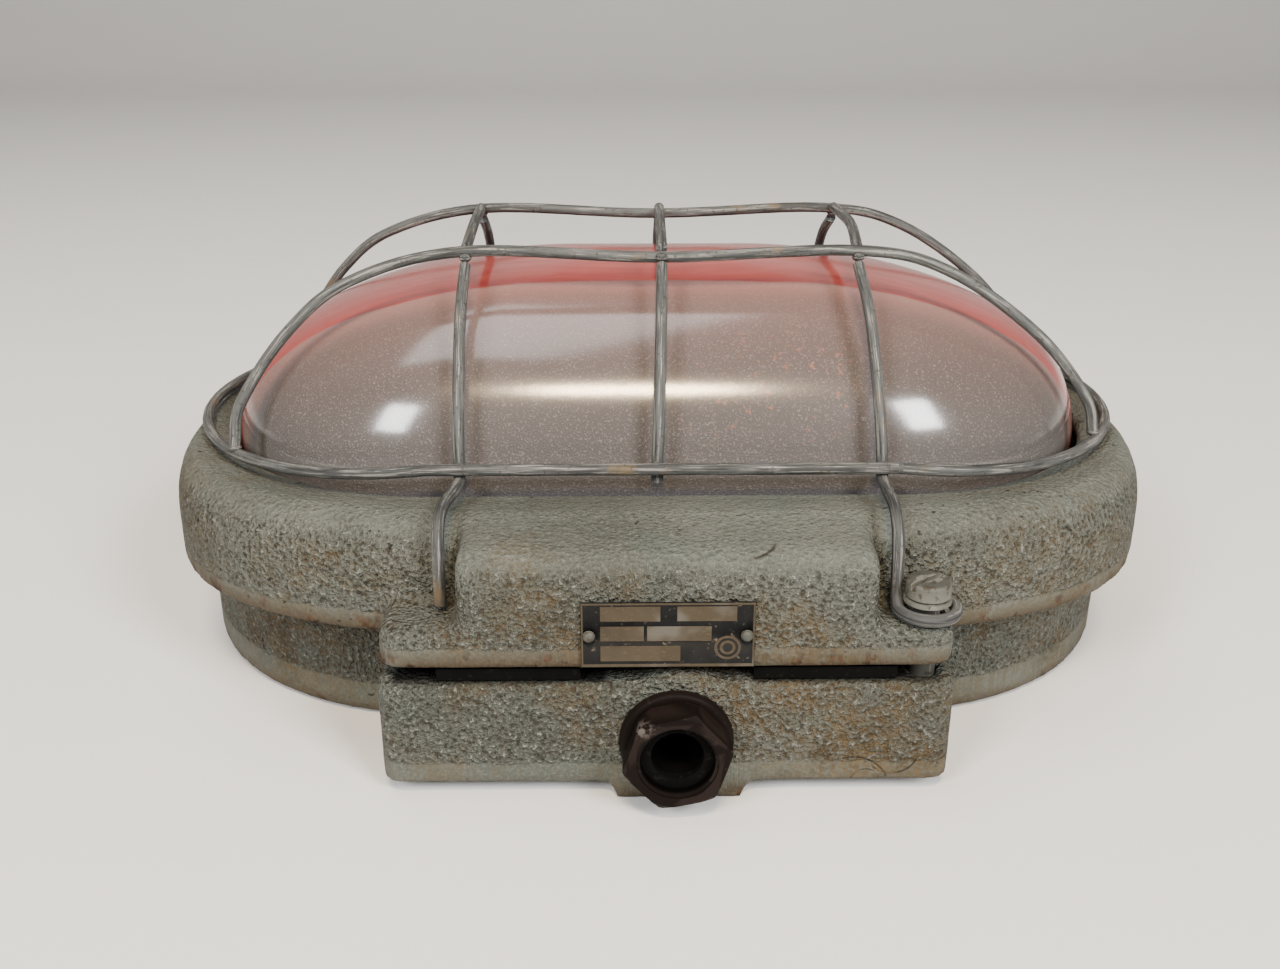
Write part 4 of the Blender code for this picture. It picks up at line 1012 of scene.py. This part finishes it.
def long_wire(name, side):
    feet = [(x * MM, y * MM, ring_height(x * MM) + WIRE + 0.4 * MM) for x, y, _ in LONG_FEET]
    left, right = ([(x * MM, y * MM, z * MM) for x, y, z in bends] for bends in LONG_BENDS)
    crown = [(-50 * MM, LONG_WIRE_Y, LONG_WIRE_Z), (0, LONG_WIRE_Y, LONG_WIRE_Z - 1.6 * MM),
             (50 * MM, LONG_WIRE_Y, LONG_WIRE_Z)]
    points = [feet[0], *left, *crown, *right, feet[1]]
    return tube(name, smooth_path([(x, side * y, z) for x, y, z in points]), WIRE)


def side_run(top_x, ring_x, side):
    ring_y = RING_WIDTH - WELD
    run = [Vector((top_x, side * (LONG_WIRE_Y + 1.9 * MM), LONG_WIRE_Z - WELD))]
    for share, y, z in ((0.25, 47, 100.5), (0.55, 58.5, 87), (0.8, 64.8, 75)):
        run.append(Vector((top_x + (ring_x - top_x) * share, side * y * MM, z * MM)))
    return smooth_path([*run, Vector((ring_x, side * ring_y, RING_HIGH))])


def leg_run(ring_x, foot_x, side):
    points = [Vector((ring_x, side * (RING_WIDTH - WELD * c), RING_HIGH - WELD * s))
              for c, s in arc(0, 90, 8)[1:]]
    for share, y, z in ((0.45, 78, 64.2), (0.8, 86, 65.2), (1, 91.5, 64.2), (1, 94.8, 60.5)):
        points.append(Vector((ring_x + (foot_x - ring_x) * share, side * y * MM, z * MM)))
    return points


def plain_leg(ring_x, foot_x, side):
    foot = [Vector((foot_x, side * LEG_Y, LEG_FOOT + rise * MM)) for rise in (8, 0)]
    return leg_run(ring_x, foot_x, side) + foot


def eye_leg(ring_x, side):
    centre = Vector((-side * SCREW_X, side * SCREW_Y, LEG_FOOT))
    foot_x = -side * (SCREW_X - EYE_RADIUS)
    points = leg_run(ring_x, foot_x, side)
    points += [Vector((foot_x, side * LEG_Y, LEG_FOOT + rise * MM)) for rise in (9, 2.2)]
    for c, s in arc(180, 395, 36):
        bend = Vector((c, s, 0)) * EYE_RADIUS
        points.append(centre + (bend if side < 0 else half_turn(bend)))
    return points


def rounded(points):
    """The same line with its corners cut, ends kept."""
    for _ in range(CORNER_CUTS):
        cut = [points[0]]
        for a, b in zip(points, points[1:]):
            cut += [a.lerp(b, 0.25), a.lerp(b, 0.75)]
        points = [*cut, points[-1]]
    return points


def bridge(name, front_x, rear_x, kink):
    end_y = LONG_WIRE_Y - WIRE - 0.1 * MM
    points = [
        (front_x, -end_y, LONG_WIRE_Z + 0.4 * MM),
        ((front_x + rear_x) / 2 + kink, 0, LONG_WIRE_Z + 1.2 * MM),
        (rear_x, end_y, LONG_WIRE_Z + 0.4 * MM),
    ]
    return tube(name, smooth_path(points), WIRE)


def weld(name, at, along, size):
    """A small uneven bead where two wires were pressed together."""
    mesh = bmesh.new()
    bmesh.ops.create_icosphere(mesh, subdivisions=3, radius=1.0)
    run = mesh.verts.layers.float_vector.new("strand")
    turn = Vector((0, 0, 1)).rotation_difference(Vector(along).normalized()).to_matrix()
    for vertex in mesh.verts:
        out = vertex.co.copy()
        out *= 1 + 0.14 * noise.noise(out * 1.7 + Vector(at) * 700)
        local = Vector((out.x * size[0], out.y * size[0], out.z * size[1]))
        vertex[run] = local
        vertex.co = Vector(at) + turn @ local
    return mesh_object(name, mesh, 180)


def guard():
    made = [("guard_ring", ring_wire()), ("guard_long_wire_front", long_wire("long_wire_front", -1)),
            ("guard_long_wire_rear", long_wire("long_wire_rear", 1))]
    for place, (front_top, front_ring, rear_top, rear_ring) in HOOPS.items():
        kink = 1.5 * MM if place == "right" else 0
        made.append(("guard_bridge_" + place, bridge("bridge_wire_" + place, front_top, rear_top, kink)))
        runs = (("front", -1, front_top, front_ring), ("rear", 1, rear_top, rear_ring))
        for word, side, top_x, ring_x in runs:
            if place == "middle":
                end = [Vector((ring_x, side * (RING_WIDTH - WELD), STUB_FOOT))]
            elif (place == "right") == (side < 0):
                end = rounded(eye_leg(ring_x, side))
            else:
                end = rounded(plain_leg(ring_x, -LEG_X if place == "left" else LEG_X, side))
            path = side_run(top_x, ring_x, side) + end
            name = word + "_" + place
            made.append(("guard_upright_" + name, tube("upright_wire_" + name, path, WIRE)))
            beads = [
                ("ring", (ring_x, side * (RING_WIDTH - WELD / 2), RING_HIGH), (0, 1, 0),
                 (1.25 * MM, 1.2 * MM)),
                ("top", (top_x, side * (LONG_WIRE_Y + 1.0 * MM), LONG_WIRE_Z - WELD * 0.45),
                 (0, 0.5 * side, -1), (1.6 * MM, 1.1 * MM)),
            ]
            for joint, at, along, size in beads:
                made.append((None, weld("weld_%s_%s" % (joint, name), at, along, size)))
    for side, word in ((-1, "front"), (1, "rear")):
        for x, y, end in LONG_FEET:
            at = (x * MM, side * y * MM, ring_height(x * MM) + WIRE + 0.2 * MM)
            made.append((None, weld("weld_foot_%s_%s" % (word, end), at, (0, 0, 1), (1.7 * MM, 1.1 * MM))))
    for node, piece in made:
        nodes = (node,) if node else ()
        finish_piece(piece, WIRE_LOOK, "guard", "guard_wire", *nodes)


guard()


# ---------------------------------------------------------------- fasteners

def cover_screw(word, side):
    """A slotted cheese-head screw with a flat washer."""
    low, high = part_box("cover_screw_" + word)
    head = (high[0] - low[0]) / 2
    top = high[2]
    foot = top - 3.9 * MM
    x, y = side * SCREW_X, -side * SCREW_Y
    shank = 3 * MM
    screw = mesh_object("screw_" + word, turned([
        (shank - 0.5 * MM, low[2]), (shank, low[2] + 0.5 * MM), (shank, foot), (head - 0.25 * MM, foot),
        (head, foot + 0.25 * MM), (head, top - 0.9 * MM), (head - 0.12 * MM, top - 0.5 * MM),
        (head - 0.4 * MM, top - 0.2 * MM), (head - 0.9 * MM, top - 0.05 * MM), (head - 2 * MM, top),
    ], steps=64))
    slot_low = top - 1.75 * MM
    slot = box((-head * 1.2, -0.66 * MM, slot_low), (head * 1.2, 0.66 * MM, top + 1 * MM))
    combine(screw, turn_mesh(slot, Matrix.Rotation(math.radians(35), 4, "Z")))
    wear_edges(screw, 0.12 * MM, 2, 50)
    stand(screw, Matrix.Translation((x, y, 0)), 40)
    finish_piece(screw, SCREW_LOOK, word + "_screw", "steel", "cover_screw_" + word)

    low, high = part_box("cover_screw_" + word + "_washer")
    rim = (high[0] - low[0]) / 2
    bottom, top = low[2], high[2]
    washer = mesh_object("washer_" + word, turned([
        (rim - 0.15 * MM, bottom), (rim, bottom + 0.15 * MM), (rim, top - 0.25 * MM),
        (rim - 0.1 * MM, top - 0.1 * MM), (rim - 0.25 * MM, top), (3.5 * MM, top),
        (3.4 * MM, top - 0.1 * MM), (3.4 * MM, bottom),
    ], hollow=True, steps=64))
    washer.data.transform(Matrix.Translation((x, y, 0)))
    finish_piece(washer, SCREW_LOOK, word + "_screw", "steel", "cover_screw_" + word + "_washer")


cover_screw("front", 1)
cover_screw("rear", -1)


# ---------------------------------------------------------------- nameplate

def plate():
    """A black plate with a raised blank border, blank fields and a plain ring mark."""
    face = PLATE_LOW[1]
    back = PLATE_HIGH[1]
    half = PLATE_HIGH[0]
    middle = (PLATE_LOW[2] + PLATE_HIGH[2]) / 2
    mesh = box((-half, face + 0.12 * MM, PLATE_LOW[2]), (half, back, PLATE_HIGH[2]))
    bmesh.ops.bevel(mesh, geom=mesh.edges[:], offset=0.15 * MM, segments=2, profile=0.5, affect="EDGES")
    sheet = mesh_object("plate_sheet", mesh)
    for x in (-RIVET_X, RIVET_X):
        combine(sheet, turn_mesh(rod(1.2 * MM, 0, 6 * MM, 24),
                                 along_y(x, -105 * MM, middle)))
    finish_piece(sheet, PLATE_LOOK, "cover", "plate", "nameplate")

    thick = 0.10 * MM
    base = face + 0.12 * MM

    def inlay(name, x_low, x_high, z_low, z_high):
        field = box((x_low, base - thick, z_low), (x_high, base + 0.05 * MM, z_high))
        front = [edge for edge in field.edges
                 if all(vertex.co.y < base - thick / 2 for vertex in edge.verts)]
        bmesh.ops.bevel(field, geom=front, offset=0.05 * MM, segments=2, profile=0.5, affect="EDGES")
        finish_piece(mesh_object(name, field), PLATE_BRASS_LOOK, "cover", "brass")

    rows = (
        ("field_top_left", -14.9, -1.7, 46.6, 50.2), ("field_top_right", 2.0, 15.1, 46.6, 50.2),
        ("field_middle_left", -14.9, -5.3, 41.7, 45.35), ("field_middle_right", -4.6, 9.6, 41.7, 45.35),
        ("field_bottom", -14.9, 2.8, 36.7, 40.5),
    )
    for name, x_low, x_high, z_low, z_high in rows:
        inlay(name, x_low * MM, x_high * MM, z_low * MM, z_high * MM)
    line = 0.42 * MM
    inset = 0.1 * MM
    low_z, high_z = PLATE_LOW[2] + inset, PLATE_HIGH[2] - inset
    side = half - inset
    inlay("border_bottom", -side, side, low_z, low_z + line * 1.6)
    inlay("border_top", -side, side, high_z - line, high_z)
    inlay("border_left", -side, -side + line, low_z + line * 1.6, high_z - line)
    inlay("border_right", side - line, side, low_z + line * 1.6, high_z - line)

    for name, rim, bore in (("mark_ring", 2.95, 2.35), ("mark_disc", 1.75, 1.1)):
        rim *= MM
        bore *= MM
        ring = turned([(rim, 0), (rim, thick), (bore, thick), (bore, 0)], hollow=True)
        turn_mesh(ring, along_y(13.2 * MM, base + 0.02 * MM, 40 * MM))
        finish_piece(mesh_object(name, ring), PLATE_BRASS_LOOK, "cover", "brass")

    for word, x in (("left", -RIVET_X), ("right", RIVET_X)):
        rivet_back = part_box("plate_rivet_" + word)[1][1]
        dome_points = [(1.4 * math.cos(a) * MM, (1.1 * math.sin(a) + 0.3) * MM)
                       for a in [1.5 * i / 9 for i in range(10)]]
        rivet = turned([(0.9 * MM, face - rivet_back), (0.9 * MM, 0.25 * MM), (1.3 * MM, 0.25 * MM),
                        *dome_points], steps=40)
        piece = mesh_object("rivet_" + word, turn_mesh(rivet, along_y(x, face, middle)), 60)
        finish_piece(piece, SCREW_LOOK, "cover", "steel", "plate_rivet_" + word)


plate()


# ---------------------------------------------------------------- cable gland

def gland():
    outer = 9 * MM
    bore = 6 * MM
    body_low, body_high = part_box("gland_body")
    flange = (body_high[0] - body_low[0]) / 2
    front = BOSS_FRONT + 0.3 * MM
    flange_front = 110.6 * MM
    profile = [
        (bore, -body_high[1]), (outer, -body_high[1]), (outer, front), (flange - 0.5 * MM, front),
        (flange, front + 0.4 * MM), (flange, flange_front - 1.1 * MM),
        (flange - 0.3 * MM, flange_front - 0.5 * MM),
        (flange - 0.8 * MM, flange_front - 0.15 * MM), (flange - 1.4 * MM, flange_front),
        (8.6 * MM, flange_front), (8.6 * MM, 113 * MM), (bore + 0.3 * MM, 113 * MM), (bore, 112.6 * MM),
    ]
    piece = mesh_object("gland_flange", turn_mesh(turned(profile, hollow=True, steps=96),
                                                  along_y(GLAND_X, 0, GLAND_Z)))
    finish_piece(piece, GLAND_LOOK, "housing", "gland_plastic", "gland_body")

    nut_low, nut_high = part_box("gland_nut")
    nut_front = -nut_low[1]
    back = -nut_high[1]
    corner = 22 * MM / math.sqrt(3)
    hexagon = loft([circle(corner, z, 6) for z in (back, nut_front)])
    upright = [edge for edge in hexagon.edges if abs(edge.verts[0].co.z - edge.verts[1].co.z) > 1 * MM]
    bmesh.ops.bevel(hexagon, geom=upright, offset=0.6 * MM, segments=3, profile=0.5, affect="EDGES")
    nut = mesh_object("gland_hex", hexagon)
    chamfer = turned([(11.2 * MM, nut_front - 8 * MM), (17 * MM, nut_front - 8 * MM),
                      (17 * MM, nut_front + 2 * MM), (11.2 * MM, nut_front + 1.2 * MM),
                      (11.2 * MM, nut_front + 0.1 * MM), (13.2 * MM, nut_front - 1.0 * MM),
                      (13.6 * MM, nut_front - 2 * MM)], hollow=True, steps=96)
    combine(nut, chamfer)
    combine(nut, rod(9 * MM, back - 1 * MM, 115.2 * MM, 96))
    mouth = 8.2 * MM
    combine(nut, turned([(mouth, 109 * MM), (mouth, nut_front - 1.2 * MM),
                         (mouth + 0.25 * MM, nut_front - 0.7 * MM), (mouth + 0.9 * MM, nut_front - 0.5 * MM),
                         (mouth + 1.0 * MM, nut_front + 1 * MM)], steps=96))
    wear_edges(nut, 0.22 * MM, 3, 22)
    stand(nut, along_y(GLAND_X, 0, GLAND_Z) @ Matrix.Rotation(math.radians(12), 4, "Z"), 35)
    finish_piece(nut, GLAND_LOOK, "gland_nut_body", "gland_plastic", "gland_nut")


gland()


# ---------------------------------------------------------------- leads

def leads():
    """Two sleeved leads from the terminal block, under the bulb, to the lampholder's side."""
    start = TERMINAL_X - TERMINAL_REACH
    routes = (
        ("outer", LEAD_DARK_LOOK, "lead_dark", -53,
         ((8, -50, 7.5), (-40, -47, 7), (-76, -40, 9), (-97, -31, 24), (-98, -24.5, 39))),
        ("inner", LEAD_RED_LOOK, "lead_red", -47,
         ((8, -37, 7.5), (-40, -32, 7), (-76, -27, 9), (-96, -21, 22), (-97, -16.5, 37.5))),
    )
    for word, look, slot, y, bends in routes:
        points = [(start, y * MM, 8.5 * MM), (start - 7 * MM, y * MM, 8.5 * MM)]
        points += [(a * MM, b * MM, c * MM) for a, b, c in bends]
        piece = tube("lead_sleeve_" + word, smooth_path(points), LEAD, wander=0)
        finish_piece(piece, look, "housing", slot, "lead_" + word)


leads()


# ---------------------------------------------------------------- carried nodes

CARRIED = {
    RUBBER_LOOK: ("housing_gasket", "glass_gasket", "gland_seal", "lug_pad_front_left",
                  "lug_pad_front_right", "lug_pad_rear_left", "lug_pad_rear_right"),
    PORCELAIN_LOOK: ("lampholder_body", "terminal_block"),
    BRASS_LOOK: ("lampholder_shell", "lampholder_contact", "terminal_screw_left", "terminal_screw_right",
                 "earth_screw", "bulb_cap"),
    STEEL_LOOK: ("lampholder_bracket", "lampholder_screw_left", "lampholder_screw_right",
                 "bracket_screw_left", "bracket_screw_right"),
    BULB_LOOK: ("bulb_glass",),
}
for look, names in CARRIED.items():
    for name in names:
        node = NODES[name]
        node.data.materials.clear()
        node.data.materials.append(look.made)


# ---------------------------------------------------------------- floor, light and camera

def floor():
    """A pale floor that sweeps up into a wall far behind the light."""
    side, near, turn, radius, top = 12.0, -12.0, 1.6, 0.8, 3.2
    sweep = [(turn + radius * s, radius * (1 - c)) for c, s in arc(0, 90, 12)]
    profile = [(near, 0.0), *sweep, (turn + radius, top)]
    mesh = bmesh.new()
    rows = [[mesh.verts.new((x, y, z - 0.2 * MM)) for x in (-side, side)] for y, z in profile]
    for lower, upper in zip(rows, rows[1:]):
        mesh.faces.new((lower[0], lower[1], upper[1], upper[0]))
    made = mesh_object("floor", mesh, 180)
    look = Look("floor_pale", Roughness=0.6)
    look.feed("Base Color", look.mix(look.noise(8, 4), (0.79, 0.785, 0.77), (0.83, 0.825, 0.81)))
    made.data.materials.append(look.made)


WHITE = (1.0, 1.0, 1.0)
LIGHTS = (
    ("overhead", (-0.25, 0.1, 1.3), 0.8, 0.6, 6, WHITE),
    ("window_left", (-0.9, -1.3, 1.12), 0.48, 0.58, 30, WHITE),
    ("window_right", (0.9, -1.3, 1.12), 0.52, 0.62, 43, WHITE),
    ("warm_lamp", (0.0, -0.95, 1.34), 0.32, 0.15, 22, (1.0, 0.76, 0.48)),
)


def area(name, at, towards, width, height, power, color):
    data = bpy.data.lights.new(name, "AREA")
    data.shape = "RECTANGLE"
    data.size = width
    data.size_y = height
    data.energy = power
    data.color = color
    made = bpy.data.objects.new(name, data)
    made.location = at
    direction = Vector(towards) - Vector(at)
    made.rotation_euler = direction.to_track_quat("-Z", "Y").to_euler()
    bpy.context.scene.collection.objects.link(made)


def stage():
    floor()
    centre = (0, 0, 0.06)
    for name, at, width, height, power, color in LIGHTS:
        area(name, at, centre, width, height, power, color)
    world = bpy.data.worlds.new("studio")
    world.use_nodes = True
    world.node_tree.nodes["Background"].inputs[0].default_value = (0.86, 0.88, 0.90, 1)
    world.node_tree.nodes["Background"].inputs[1].default_value = 0.13
    bpy.context.scene.world = world


def camera():
    data = bpy.data.cameras.new("camera")
    data.sensor_width = 36
    data.lens = 36.56
    made = bpy.data.objects.new("camera", data)
    made.location = (-0.0094, -0.3601, 0.1813)
    made.rotation_euler = Euler((math.radians(90 - 22.1), 0, math.radians(-0.74)), "XYZ")
    bpy.context.scene.collection.objects.link(made)
    bpy.context.scene.camera = made


stage()
camera()
